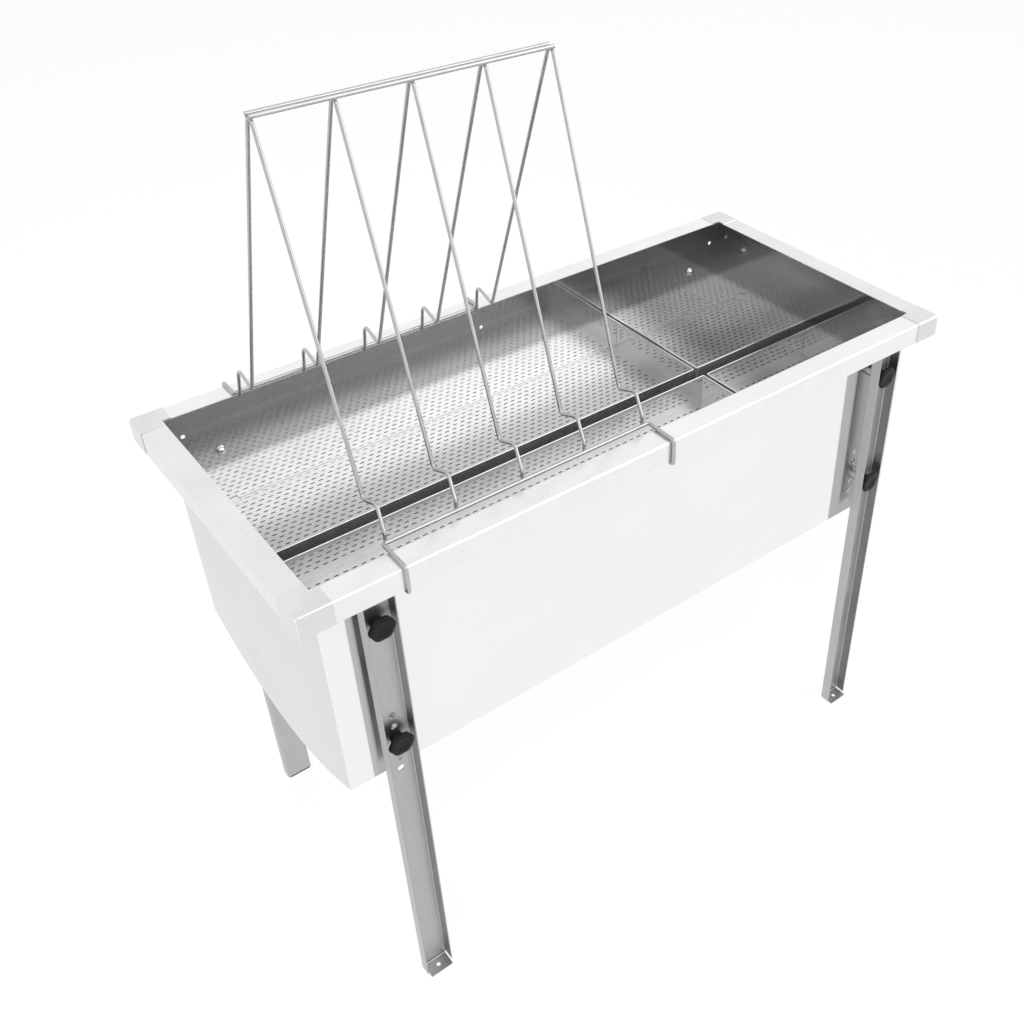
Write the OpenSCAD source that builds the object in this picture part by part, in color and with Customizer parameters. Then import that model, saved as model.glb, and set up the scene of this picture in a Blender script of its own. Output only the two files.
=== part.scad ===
// Uncapping tank: a steel trough on four channel legs, with sieve baskets and a wire frame rack.
// Frame: the floor is z = 0, X runs along the tank, Y from its front to its back. Millimetres.

/* [Tank] */
// Height of the rim's top face above the floor
rim_height = 735; // [690:5:900]
// Outside width of the tank
tank_w = 400; // [370:2:480]
// Depth of the front and back walls below the rim's top face
wall_depth = 320; // [300:2:360]
// Drop of the rolled bottom below the walls
bottom_drop = 50; // [36:1:70]
// Thickness of the tank's sheet
sheet_t = 1.2; // [1:0.1:2]
// Diameter of the three holes high in the back wall
back_hole_d = 6; // [4:0.5:9]
// Depth of those holes below the rim's top face
back_hole_drop = 32; // [20:1:45]
// Distance from the end of the tank to the nearest of those holes
back_hole_inset = 20; // [12:1:40]

/* [Rim] */
// Width of the rim outside the walls
rim_top_w = 30; // [26:1:40]
// Height of the rim's skirt
skirt_h = 30; // [20:1:36]
// Reach of a corner cap along each rim
cap_reach = 42; // [40:1:60]
// Thickness of a corner cap
cap_t = 1; // [0.6:0.1:1.5]

/* [Sieve baskets] */
// Depth of the basket floors below the rim's top face
basket_depth = 154; // [140:1:180]
// Height of a basket's wall above its floor
basket_wall_h = 44; // [30:1:52]
// Thickness of the basket's sheet
basket_t = 1; // [0.8:0.1:1.5]
// Gap between the front and the back row of baskets
row_gap = 20; // [12:1:40]
// Length of a long basket, which sets the length of the tank
long_basket_l = 720; // [560:5:860]
// Length of a short basket, which sets the length of the tank
short_basket_l = 208; // [160:2:300]
// Gap between a long and a short basket
split_gap = 5; // [3:0.5:16]
// Room between a basket and the front or back wall
basket_side_gap = 2; // [1:0.5:4]
// Room between a basket and an end panel
basket_end_gap = 2.3; // [1:0.1:8]
// Height of the doubled hem along a basket's top edge
hem_h = 6; // [4:0.5:10]
// Length of a sieve slot
slot_l = 24; // [12:1:28]
// Width of a sieve slot
slot_w = 5; // [2:0.5:8]
// Pitch of the slots along the tank
slot_pitch_x = 36; // [32:1:60]
// Pitch of the slot rows across the tank
slot_pitch_y = 18; // [14:1:40]
// Plain margin round the slots
slot_margin = 14; // [8:1:24]

/* [Basket supports] */
// Width of bearing under a basket's edge
bearing_w = 12; // [8:1:20]
// Thickness of the ledges and the beam
support_t = 1.5; // [1:0.1:3]
// Height of a ledge's upright
ledge_h = 15; // [10:1:30]
// Height of the centre beam
beam_h = 25; // [15:1:40]

/* [Legs] */
// Distance of a leg's centre line from the end of the tank
leg_inset = 62; // [50:1:90]
// Width of a leg's channel
leg_w = 40; // [40:1:50]
// Thickness of a leg's sheet
leg_t = 1.5; // [1.2:0.1:2]
// Distance from the tank's wall to a leg's web
leg_standoff = 10.5; // [9:0.5:12]
// Depth of a leg's upper stud below the rim's top face
upper_stud_drop = 71; // [66:1:90]
// Distance between the two studs of a leg
stud_spacing = 187; // [150:1:200]
// Pitch of the row of height holes
hole_pitch = 18.7; // [14:0.1:24]
// Height holes above the lower stud
holes_above = 2; // [0:1:3]
// Height holes below the lower stud
holes_below = 3; // [0:1:6]
// Length of a foot tab
foot_l = 22; // [16:1:40]
// Diameter of the screw hole in a foot tab
foot_hole_d = 6; // [4:0.5:9]

/* [Knobs and inserts] */
// Diameter of a knob's threaded stud
stud_d = 8; // [6:0.5:8]
// Play of a stud in the hole of a leg
stud_hole_play = 1; // [0.4:0.1:2]
// Diameter of a knob's head
knob_d = 34; // [28:1:34]
// Thickness of a knob's head
knob_head_t = 9; // [7:0.5:12]
// Diameter of a knob's neck
knob_neck_d = 16; // [13:0.5:20]
// Length of a knob's neck, flare included
knob_neck_l = 11; // [9:0.5:16]
// Lobes round a knob's head
knob_lobes = 8; // [5:1:10]
// Diameter of an insert's barrel
insert_d = 12; // [11:0.5:12.5]
// Diameter of an insert's flange inside the tank
insert_flange_d = 14; // [13.5:0.5:24]
// Height of an insert's dome above its flange
dome_h = 5.5; // [4:0.5:6.5]
// Diameter of the spacer between the wall and a leg
spacer_d = 18; // [16:0.5:24]

/* [Frame rack] */
// Distance of the rack's left hooks from the left legs
rack_gap = 14; // [5:0.5:60]
// Reach of the rails beyond the first rib, to the left hooks
left_hook_l = 6; // [6:0.5:30]
// Reach of the rails beyond the last rib, to the right hooks
right_hook_l = 6; // [6:0.5:30]
// Number of ribs
rib_count = 5; // [3:1:6]
// Distance between two ribs
rib_spacing = 90; // [60:1:104]
// Height above the rim at which the two sides of a rib would meet, were they not bent
rack_height = 424; // [300:2:500]
// Diameter of the rails and top rods
rod_d = 5; // [4:0.5:6]
// Diameter of a rib's wire
rib_d = 4.5; // [3:0.5:5]
// Distance between the centre lines of the two top rods
rod_gap = 9.5; // [7:0.5:12]
// Radius of the bends in the ribs
bend_r = 6; // [5.5:0.5:8]
// Distance of the front rail from the tank's front face
front_rail_inset = 15.5; // [10:0.5:30]
// Distance of the back rail from the tank's back face
back_rail_inset = 0; // [-4:0.5:12]
// Height of a ledge's outer end above the rim
ledge_out_z = 37.5; // [30:0.5:60]
// Height of a ledge's inner end above the rim
ledge_in_z = 25; // [20:0.5:50]
// Length of the front ledges that carry the frames
front_ledge_l = 32.5; // [24:0.5:60]
// Length of the back ledges that carry the frames
back_ledge_l = 37; // [24:0.5:60]
// Slant of the front ribs between their ledge and their foot
front_foot_slant = 19; // [16:1:30]
// Lean of the ribs to the right, from their feet to their ledges
foot_lean = 4.5; // [0:0.5:10]
// Lean of the ribs to the right, from their ledges to the top
top_lean = 4; // [0:0.5:20]
// Reach of a hook's tip under the rim's skirt
hook_tip = 13; // [11:0.5:16]

/* [Honey gate] */
// Bore of the outlet
outlet_bore = 40; // [30:1:44]
// Wall of the outlet pipe
outlet_wall = 2; // [1.5:0.1:3]
// Length of the outlet outside the end panel
outlet_l = 36; // [30:1:60]
// Width of the flange round the pipe
gate_flange_w = 16; // [14:1:24]
// Thickness of the flange
gate_flange_t = 6; // [5:0.5:10]
// Thickness of the gate's blade
blade_t = 4; // [3:0.5:8]
// Reach of the blade beyond the bore
blade_lap = 10; // [9:0.5:12]
// Length of the blade's handle
handle_l = 34; // [20:1:60]
// Width of the blade's arm and handle
arm_w = 24; // [20:1:30]
// Diameter of the pivot bolt
pivot_d = 8; // [6:0.5:10]
// Size of the wing nut's hub
wing_hub_d = 16; // [14:0.5:20]
// Span of the wing nut
wing_span = 40; // [30:1:50]

/* [Hidden] */
$fn = 48;

// Colours of the finishes
satin = "gainsboro";
mirror_steel = "silver";
leg_steel = "darkgray";
wire_steel = "lightgray";
knob_black = "black";
rubber_black = "dimgray";

// Clearances
fit = 0.05;
cut = 1;
weld_gap = 0.02;
flat_gap = 0.1;
leg_play = 0.8;
leg_top_play = 0.5;
wire_play = 0.5;
notch_play = 1.5;
bend_lap = 0.1;
bend_swell = 0.02;

// Tank
tank_l = long_basket_l + split_gap + short_basket_l + 2 * (basket_end_gap + sheet_t);
half_l = tank_l / 2;
half_w = tank_w / 2;
inner_x = half_l - sheet_t;
inner_y = half_w - sheet_t;
rim_x = half_l + rim_top_w;
rim_y = half_w + rim_top_w;
wall_top = rim_height - sheet_t;
wall_foot = rim_height - wall_depth;
skirt_z = rim_height - skirt_h;
roll_r = (half_w * half_w + bottom_drop * bottom_drop) / (2 * bottom_drop);
roll_z = wall_foot - bottom_drop + roll_r;
roll_fn = 180;

// Baskets
tray_z = rim_height - basket_depth;
seat_z = tray_z - basket_t;
split_left_x = -inner_x + basket_end_gap + long_basket_l;
split_right_x = split_left_x + split_gap;
basket_y0 = row_gap / 2;
basket_w = inner_y - basket_side_gap - basket_y0;
ledge_w = basket_side_gap + bearing_w;
beam_w = row_gap + 2 * bearing_w;

// Legs and their fasteners
leg_x = half_l - leg_inset;
web_back = -half_w - leg_standoff;
web_front = web_back - leg_t;
leg_depth = rim_top_w - sheet_t - leg_play - leg_standoff;
flange_front = web_back - leg_depth;
leg_top = wall_top - leg_top_play;
foot_side = 3;
foot_w = leg_w - 2 * leg_t - 2 * foot_side;
flange_foot = 2 * leg_t;
upper_stud_z = rim_height - upper_stud_drop;
lower_stud_z = upper_stud_z - stud_spacing;
height_holes = [for (i = [-holes_below : holes_above]) lower_stud_z + i * hole_pitch];
leg_hole_d = stud_d + stud_hole_play;
flange_t = 1;
insert_reach = flange_t + dome_h;
knob_round = 2.5;
stud_sink = knob_neck_l + knob_head_t / 3;
scallop_r = knob_d / 7;

// Rack
left_hook_x = -leg_x + leg_w / 2 + rack_gap;
rib_x = [for (i = [0 : rib_count - 1]) left_hook_x + left_hook_l + i * rib_spacing];
right_hook_x = rib_x[rib_count - 1] + right_hook_l;
hook_bend_r = rod_d / 2 + 2.4 * wire_play;
rail_z = rim_height + wire_play + rod_d / 2;
hook_y = rim_y + wire_play + rod_d / 2;
hook_z = skirt_z - wire_play - rod_d / 2;
front_rail_y = -half_w + front_rail_inset;
back_rail_y = half_w - back_rail_inset;
rib_off = (rod_d + rib_d) / 2 + weld_gap;
rib_foot_straight = 10;
front_foot_y = front_rail_y + rib_off;
front_out_y = front_foot_y + front_foot_slant;
back_foot_y = back_rail_y - rib_off;
front_in = [front_out_y + front_ledge_l, rim_height + ledge_in_z];
back_in = [back_foot_y - back_ledge_l, rim_height + ledge_in_z];
rib_top = [0, rim_height + rack_height];
rib_way = unit(unit(front_in - rib_top) + unit(back_in - rib_top));
rib_half = turn(unit(front_in - rib_top), rib_way);
top_bend = rib_top + rib_way * bend_r / sin(rib_half);
shoulder = bend_r + rib_off;
rod_z = top_bend.y + sqrt(shoulder * shoulder - rod_gap * rod_gap / 4);
rod_end = 2;

// Honey gate
pipe_d = outlet_bore + 2 * outlet_wall;
pipe_lift = 2;
gate_z = wall_foot - bottom_drop + sheet_t + pipe_lift + pipe_d / 2;
gate_x = half_l + outlet_l;
gate_flange_d = pipe_d + 2 * gate_flange_w;
seal_lip = 3;
seal_in = outlet_bore + 2 * seal_lip;
seal_w = 3;
seal_t = 2;
blade_d = outlet_bore + 2 * blade_lap;
pivot_y = gate_flange_d / 2 + pivot_d;
lug_d = 3.25 * pivot_d;
blade_x = gate_x + flat_gap;
nut_x = blade_x + blade_t + flat_gap;
nut_t = 10;
bolt_head_d = 1.65 * pivot_d;
bolt_head_t = 0.65 * pivot_d;
bolt_over = 3;
stop_d = 6;
stop_y = gate_flange_d / 2 - stop_d / 2;
stop_z = gate_z - arm_w / 2 - stop_d / 2 - flat_gap;

// Vector helpers for bent wire
function unit(v) = v / norm(v);
function way(p, i) = unit(p[i + 1] - p[i]);
function turn(a, b) = acos(max(-1, min(1, a * b)));
function trim(p, i, r) =
    i == 0 || i == len(p) - 1 ? 0 : r * tan(turn(way(p, i - 1), way(p, i)) / 2);

// A round bar between two points
module bar(a, b, d) {
    v = b - a;
    translate(a)
        rotate([0, acos(v.z / norm(v)), atan2(v.y, v.x)])
            cylinder(d = d, h = norm(v));
}

// An elbow of wire at corner i of a route
module elbow(p, i, d, r) {
    u = way(p, i - 1);
    w = way(p, i);
    n = unit(w - (w * u) * u);
    c = p[i] - trim(p, i, r) * u + r * n;
    k = cross(-n, u);
    multmatrix([[-n.x, u.x, k.x, c.x], [-n.y, u.y, k.y, c.y], [-n.z, u.z, k.z, c.z], [0, 0, 0, 1]])
        rotate_extrude(angle = turn(u, w))
            translate([r, 0]) circle(d = d);
}

// Length of a straight lost at corner i of a route, less the lap that joins it to the bend
function straight_end(p, i, r) = i == 0 || i == len(p) - 1 ? 0 : trim(p, i, r) - bend_lap;

// A wire bent along a route, with round bends at its corners
module wire(p, d, r) {
    for (i = [0 : len(p) - 2])
        bar(p[i] + straight_end(p, i, r) * way(p, i), p[i + 1] - straight_end(p, i + 1, r) * way(p, i),
            d - 2 * bend_swell);
    for (i = [1 : len(p) - 2])
        elbow(p, i, d, r);
}

// A round bar along Y
module y_bar(x, z, y0, y1, d) {
    translate([x, y0, z]) rotate([-90, 0, 0]) cylinder(d = d, h = y1 - y0);
}

// A round bar along X
module x_bar(y, z, x0, x1, d) {
    translate([x0, y, z]) rotate([0, 90, 0]) cylinder(d = d, h = x1 - x0);
}

// A plate of a given outline in the YZ plane, from x0 onwards
module yz_plate(x0, t) {
    translate([x0, 0, 0]) rotate([90, 0, 90]) linear_extrude(t) children();
}

// Turns a front piece into its back twin
module front_or_back(back) {
    mirror([0, back ? 1 : 0, 0]) children();
}

// Turns a left piece into its right twin
module left_or_right(right) {
    mirror([right ? 1 : 0, 0, 0]) children();
}

// A long wall with the holes of its four inserts, at the front
module wall_plate() {
    difference() {
        translate([-half_l, -half_w, wall_foot]) cube([tank_l, sheet_t, wall_top - wall_foot]);
        for (x = [-leg_x, leg_x], z = [upper_stud_z, lower_stud_z])
            y_bar(x, z, -half_w - cut, -inner_y + cut, insert_d + 2 * fit);
    }
}

module front_wall() {
    color(satin) wall_plate();
}

module back_wall() {
    color(satin)
        difference() {
            front_or_back(true) wall_plate();
            for (i = [-1 : 1])
                y_bar(i * (half_l - back_hole_inset), rim_height - back_hole_drop, inner_y - cut,
                    half_w + cut, back_hole_d);
        }
}

// Outline of an end panel: straight sides over the rolled bottom
module end_outline() {
    intersection() {
        translate([-inner_y, roll_z - roll_r]) square([2 * inner_y, wall_top - roll_z + roll_r]);
        union() {
            translate([0, roll_z]) circle(r = roll_r - sheet_t, $fn = roll_fn);
            translate([-inner_y, wall_foot]) square([2 * inner_y, wall_top - wall_foot]);
        }
    }
}

module left_end() {
    color(satin) yz_plate(-half_l, sheet_t) end_outline();
}

module right_end() {
    color(satin)
        difference() {
            yz_plate(inner_x, sheet_t) end_outline();
            x_bar(0, gate_z, inner_x - cut, half_l + cut, pipe_d + 2 * fit);
        }
}

module rolled_bottom() {
    color(satin)
        yz_plate(-half_l, tank_l)
            intersection() {
                translate([0, roll_z])
                    difference() {
                        circle(r = roll_r, $fn = roll_fn);
                        circle(r = roll_r - sheet_t, $fn = roll_fn);
                    }
                translate([-half_w, wall_foot - bottom_drop]) square([tank_w, bottom_drop]);
            }
}

// A folded rim: a flat top over the wall's edge and a skirt outside
module long_rim() {
    translate([-rim_x, -rim_y, wall_top]) cube([2 * rim_x, rim_y - inner_y, sheet_t]);
    translate([-rim_x, -rim_y, skirt_z]) cube([2 * rim_x, sheet_t, wall_top - skirt_z]);
}

module short_rim() {
    translate([-rim_x, -inner_y, wall_top]) cube([rim_x - inner_x, 2 * inner_y, sheet_t]);
    translate([-rim_x, -inner_y, skirt_z]) cube([sheet_t, 2 * inner_y, wall_top - skirt_z]);
}

module front_rim() {
    color(satin) long_rim();
}

module back_rim() {
    color(satin) front_or_back(true) long_rim();
}

module left_rim() {
    color(satin) short_rim();
}

module right_rim() {
    color(satin) left_or_right(true) short_rim();
}

// A cap over a corner of the rim, at the front left
module corner_cap() {
    difference() {
        translate([-rim_x - cap_t, -rim_y - cap_t, skirt_z])
            cube([cap_reach + cap_t, cap_reach + cap_t, skirt_h + cap_t]);
        translate([-rim_x, -rim_y, skirt_z - cut]) cube([cap_reach + cut, cap_reach + cut, skirt_h + cut]);
        translate([-inner_x, -inner_y, skirt_z]) cube([cap_reach, cap_reach, skirt_h + cap_t + cut]);
    }
}

module placed_cap(right, back) {
    color(satin) left_or_right(right) front_or_back(back) corner_cap();
}

// An angle along a long wall, which carries the outer edge of a row of baskets
module basket_ledge() {
    translate([-inner_x, -inner_y, seat_z - support_t]) cube([2 * inner_x, ledge_w, support_t]);
    translate([-inner_x, -inner_y, seat_z - ledge_h]) cube([2 * inner_x, support_t, ledge_h - support_t]);
}

module front_ledge() {
    color(mirror_steel) basket_ledge();
}

module back_ledge() {
    color(mirror_steel) front_or_back(true) basket_ledge();
}

// An inverted channel under the gap between the two rows of baskets
module centre_beam() {
    color(mirror_steel)
        difference() {
            translate([-inner_x, -beam_w / 2, seat_z - beam_h]) cube([2 * inner_x, beam_w, beam_h]);
            translate([-inner_x - cut, -beam_w / 2 + support_t, seat_z - beam_h - cut])
                cube([2 * (inner_x + cut), beam_w - 2 * support_t, beam_h - support_t + cut]);
        }
}

// A slotted floor with two hemmed walls that meet at x = 0, cut out for the inserts it is lifted past
module basket(l, insert_x) {
    columns = floor((l - 2 * slot_margin - slot_l) / slot_pitch_x);
    rows = floor((basket_w - 2 * slot_margin - slot_w) / slot_pitch_y);
    notch_w = insert_flange_d + 2 * notch_play;
    notch_y = basket_w + basket_side_gap - insert_reach - notch_play;
    difference() {
        cube([l, basket_w, basket_t + basket_wall_h]);
        translate([basket_t, basket_t, basket_t]) cube([l, basket_w, basket_wall_h - hem_h]);
        translate([2 * basket_t, 2 * basket_t, basket_t + cut]) cube([l, basket_w, basket_wall_h]);
        translate([l / 2, basket_w / 2, basket_t / 2])
            for (i = [0 : columns], j = [0 : rows])
                translate([(i - columns / 2) * slot_pitch_x, (j - rows / 2) * slot_pitch_y, 0])
                    cube([slot_l, slot_w, basket_t + cut], center = true);
        translate([insert_x - notch_w / 2, notch_y, -cut]) cube([notch_w, basket_w, basket_t + 2 * cut]);
    }
}

module placed_basket(right, back) {
    split_x = right ? split_right_x : split_left_x;
    color(mirror_steel)
        front_or_back(!back)
            translate([split_x, basket_y0, seat_z])
                left_or_right(!right)
                    basket(right ? short_basket_l : long_basket_l, right ? leg_x - split_x : leg_x + split_x);
}

// A channel leg, open to the front, with its web bent forward into a foot tab
module leg() {
    difference() {
        union() {
            translate([-leg_w / 2, web_front, 0]) cube([leg_w, leg_t, leg_top]);
            for (x = [-leg_w / 2, leg_w / 2 - leg_t])
                translate([x, flange_front, flange_foot])
                    cube([leg_t, web_front - flange_front, leg_top - flange_foot]);
            translate([-foot_w / 2, web_front - foot_l, 0]) cube([foot_w, foot_l, leg_t]);
        }
        for (z = concat([upper_stud_z], height_holes))
            y_bar(0, z, web_front - cut, web_back + cut, leg_hole_d);
        translate([0, web_front - foot_l / 2, -cut]) cylinder(d = foot_hole_d, h = leg_t + 2 * cut);
    }
}

// Puts a front piece at one of the four legs
module at_leg(right, back) {
    front_or_back(back) translate([right ? leg_x : -leg_x, 0, 0]) children();
}

module placed_leg(right, back) {
    color(leg_steel) at_leg(right, back) leg();
}

// A closed threaded insert through the wall: its dome shows inside the tank
module dome_insert() {
    rotate([-90, 0, 0])
        difference() {
            union() {
                translate([0, 0, -half_w - leg_standoff])
                    cylinder(d = insert_d, h = leg_standoff + sheet_t + flange_t / 2);
                translate([0, 0, -inner_y]) cylinder(d = insert_flange_d, h = flange_t);
                translate([0, 0, -inner_y + flange_t])
                    intersection() {
                        sphere(r = dome_h);
                        translate([0, 0, dome_h / 2 - cut / 4])
                            cube([3 * dome_h, 3 * dome_h, dome_h + cut / 2], center = true);
                    }
            }
            translate([0, 0, -half_w - leg_standoff - cut])
                cylinder(d = stud_d + 2 * fit, h = leg_standoff + sheet_t + cut);
        }
}

module at_each_stud() {
    for (right = [false, true], back = [false, true], z = [upper_stud_z, lower_stud_z])
        at_leg(right, back) translate([0, 0, z]) children();
}

module dome_inserts() {
    color(mirror_steel) at_each_stud() dome_insert();
}

module leg_spacers() {
    color(mirror_steel)
        at_each_stud()
            difference() {
                y_bar(0, 0, web_back, -half_w, spacer_d);
                y_bar(0, 0, web_back - cut, -half_w + cut, insert_d + 2 * fit);
            }
}

// A lobed knob with a flared neck, its axis along Y and its head to the front
module knob() {
    translate([0, web_front - flat_gap, 0])
        rotate([90, 0, 0])
            difference() {
                rotate_extrude()
                    difference() {
                        polygon([[0, 0], [knob_neck_d / 2, 0], [knob_neck_d / 2, knob_neck_l / 2],
                            [knob_d / 2 - knob_round, knob_neck_l], [knob_d / 2, knob_neck_l + knob_round],
                            [knob_d / 2, knob_neck_l + knob_head_t - knob_round],
                            [knob_d / 2 - knob_round, knob_neck_l + knob_head_t],
                            [0, knob_neck_l + knob_head_t]]);
                        translate([-cut, -cut]) square([stud_d / 2 + fit + cut, stud_sink + cut]);
                    }
                for (i = [0 : knob_lobes - 1])
                    rotate([0, 0, i * 360 / knob_lobes])
                        translate([knob_d / 2 + scallop_r / 2, 0, knob_neck_l / 2])
                            cylinder(r = scallop_r, h = knob_neck_l + knob_head_t);
            }
}

module placed_knob(right, back, z) {
    color(knob_black) at_leg(right, back) translate([0, 0, z]) knob();
}

// The threaded stud of a knob, through the leg's web into its insert
module placed_stud(right, back, z) {
    color(wire_steel)
        at_leg(right, back)
            y_bar(0, z, web_front - flat_gap - stud_sink + flat_gap, -inner_y - flat_gap, stud_d);
}

// A rod that lies on the bends at the top of the ribs
module top_rod(side) {
    lean = foot_lean + top_lean;
    color(wire_steel)
        x_bar(top_bend.x + side * rod_gap / 2, rod_z, rib_x[0] + lean - rod_end,
            rib_x[rib_count - 1] + lean + rod_end, rod_d);
}

module rack_front_rod() {
    top_rod(-1);
}

module rack_back_rod() {
    top_rod(1);
}

// Route of a rib: up from the front rail, in over the front ledge, over the top and down to the back rail
function rib_route(x) = [
    [x, front_foot_y, rail_z - rod_d / 2],
    [x, front_foot_y, rail_z + rib_foot_straight],
    [x + foot_lean, front_out_y, rim_height + ledge_out_z],
    [x + foot_lean, front_in.x, front_in.y],
    [x + foot_lean + top_lean, rib_top.x, rib_top.y],
    [x + foot_lean, back_in.x, back_in.y],
    [x + foot_lean, back_foot_y, rim_height + ledge_out_z],
    [x, back_foot_y, rail_z - rod_d / 2]];

module rack_ribs() {
    color(wire_steel)
        for (x = rib_x)
            wire(rib_route(x), rib_d, bend_r);
}

// A rail whose two ends hook out over the rim and under its skirt
module hooked_rail(rail_y, side) {
    color(wire_steel)
        wire([[left_hook_x, side * (hook_y - hook_tip), hook_z],
            [left_hook_x, side * hook_y, hook_z],
            [left_hook_x, side * hook_y, rail_z],
            [left_hook_x, rail_y, rail_z],
            [right_hook_x, rail_y, rail_z],
            [right_hook_x, side * hook_y, rail_z],
            [right_hook_x, side * hook_y, hook_z],
            [right_hook_x, side * (hook_y - hook_tip), hook_z]], rod_d, hook_bend_r);
}

module rack_front_rail() {
    hooked_rail(front_rail_y, -1);
}

module rack_back_rail() {
    hooked_rail(back_rail_y, 1);
}

// Pipe through the right end panel, with a flange, a pivot lug and the blade's stop
module outlet_spigot() {
    color(mirror_steel)
        difference() {
            union() {
                x_bar(0, gate_z, inner_x, gate_x, pipe_d);
                yz_plate(gate_x - gate_flange_t, gate_flange_t)
                    translate([0, gate_z]) {
                        circle(d = gate_flange_d);
                        translate([0, -gate_flange_d / 4]) square([pivot_y, gate_flange_d / 2]);
                        translate([pivot_y, 0]) circle(d = lug_d);
                    }
                x_bar(stop_y, stop_z, gate_x - gate_flange_t, gate_x + blade_t, stop_d);
            }
            x_bar(0, gate_z, inner_x - cut, gate_x + cut, outlet_bore);
            x_bar(pivot_y, gate_z, inner_x, gate_x + cut, pivot_d + 2 * fit);
            difference() {
                x_bar(0, gate_z, gate_x - seal_t, gate_x + cut, seal_in + 2 * seal_w);
                x_bar(0, gate_z, gate_x - seal_t - cut, gate_x + 2 * cut, seal_in);
            }
        }
}

module gate_seal() {
    color(rubber_black)
        difference() {
            x_bar(0, gate_z, gate_x - seal_t, gate_x, seal_in + 2 * seal_w - 2 * fit);
            x_bar(0, gate_z, gate_x - seal_t - cut, gate_x + cut, seal_in + 2 * fit);
        }
}

// The blade closes the bore, and swings up about the pivot bolt
module gate_blade() {
    reach = blade_d / 2 + handle_l - arm_w / 2;
    color(satin)
        difference() {
            yz_plate(blade_x, blade_t)
                translate([0, gate_z]) {
                    circle(d = blade_d);
                    translate([-reach, -arm_w / 2]) square([reach + pivot_y, arm_w]);
                    translate([pivot_y, 0]) circle(d = arm_w);
                    translate([-reach, 0]) circle(d = arm_w);
                }
            x_bar(pivot_y, gate_z, gate_x - cut, nut_x + cut, pivot_d + 2 * fit);
        }
}

module gate_pivot_bolt() {
    color(wire_steel) {
        x_bar(pivot_y, gate_z, gate_x - gate_flange_t, nut_x + nut_t + bolt_over, pivot_d);
        translate([gate_x - gate_flange_t - bolt_head_t, pivot_y, gate_z])
            rotate([0, 90, 0]) cylinder(d = bolt_head_d, h = bolt_head_t, $fn = 6);
    }
}

module gate_wing_nut() {
    color(wire_steel)
        difference() {
            union() {
                x_bar(pivot_y, gate_z, nut_x, nut_x + nut_t, wing_hub_d);
                translate([nut_x + nut_t / 4, pivot_y - wing_span / 2, gate_z - wing_hub_d / 10])
                    cube([1.4 * nut_t, wing_span, wing_hub_d / 5]);
            }
            x_bar(pivot_y, gate_z, nut_x - cut, nut_x + 2 * nut_t, pivot_d + 2 * fit);
        }
}

front_wall();
back_wall();
left_end();
right_end();
rolled_bottom();
front_rim();
back_rim();
left_rim();
right_rim();
placed_cap(false, false);  // corner_cap_front_left
placed_cap(true, false);  // corner_cap_front_right
placed_cap(false, true);  // corner_cap_back_left
placed_cap(true, true);  // corner_cap_back_right
front_ledge();
back_ledge();
centre_beam();
placed_leg(false, false);  // leg_front_left
placed_leg(true, false);  // leg_front_right
placed_leg(false, true);  // leg_back_left
placed_leg(true, true);  // leg_back_right
dome_inserts();
leg_spacers();
placed_knob(false, false, upper_stud_z);  // knob_fl_upper
placed_knob(false, false, lower_stud_z);  // knob_fl_lower
placed_knob(true, false, upper_stud_z);  // knob_fr_upper
placed_knob(true, false, lower_stud_z);  // knob_fr_lower
placed_knob(false, true, upper_stud_z);  // knob_bl_upper
placed_knob(false, true, lower_stud_z);  // knob_bl_lower
placed_knob(true, true, upper_stud_z);  // knob_br_upper
placed_knob(true, true, lower_stud_z);  // knob_br_lower
placed_stud(false, false, upper_stud_z);  // stud_fl_upper
placed_stud(false, false, lower_stud_z);  // stud_fl_lower
placed_stud(true, false, upper_stud_z);  // stud_fr_upper
placed_stud(true, false, lower_stud_z);  // stud_fr_lower
placed_stud(false, true, upper_stud_z);  // stud_bl_upper
placed_stud(false, true, lower_stud_z);  // stud_bl_lower
placed_stud(true, true, upper_stud_z);  // stud_br_upper
placed_stud(true, true, lower_stud_z);  // stud_br_lower
placed_basket(false, false);  // basket_front_left
placed_basket(true, false);  // basket_front_right
placed_basket(false, true);  // basket_back_left
placed_basket(true, true);  // basket_back_right
rack_front_rod();
rack_back_rod();
rack_ribs();
rack_front_rail();
rack_back_rail();
outlet_spigot();
gate_seal();
gate_blade();
gate_pivot_bolt();
gate_wing_nut();
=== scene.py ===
"""Looks of the uncapping tank: folded rims, channel legs, knobs, sieve baskets and the wire rack."""

import itertools
import logging
import math
from collections.abc import Callable
from dataclasses import dataclass, field
from enum import Enum

import bmesh
import bpy
import numpy as np
from mathutils import Matrix, Vector


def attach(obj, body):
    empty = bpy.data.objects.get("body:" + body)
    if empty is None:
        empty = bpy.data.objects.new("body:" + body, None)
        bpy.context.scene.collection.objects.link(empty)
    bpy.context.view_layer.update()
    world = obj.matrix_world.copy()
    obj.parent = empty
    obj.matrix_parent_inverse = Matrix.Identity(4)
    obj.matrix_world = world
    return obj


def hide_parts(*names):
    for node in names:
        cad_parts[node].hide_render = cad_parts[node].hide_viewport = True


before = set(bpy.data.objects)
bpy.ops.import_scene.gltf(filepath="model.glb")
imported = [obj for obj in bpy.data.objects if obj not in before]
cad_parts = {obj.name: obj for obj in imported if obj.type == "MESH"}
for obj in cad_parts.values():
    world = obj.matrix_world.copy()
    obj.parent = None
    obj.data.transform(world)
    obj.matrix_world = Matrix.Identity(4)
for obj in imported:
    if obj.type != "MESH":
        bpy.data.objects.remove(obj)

LOG = logging.getLogger("uncapping_tank")
SHARP_ANGLE = math.radians(35.0)
WELD_DISTANCE = 2e-6
EDGE_BREAK = 0.0003
STEEL_WARMTH = 0.005
WHITE = (1.0, 1.0, 1.0, 1.0)


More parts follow.
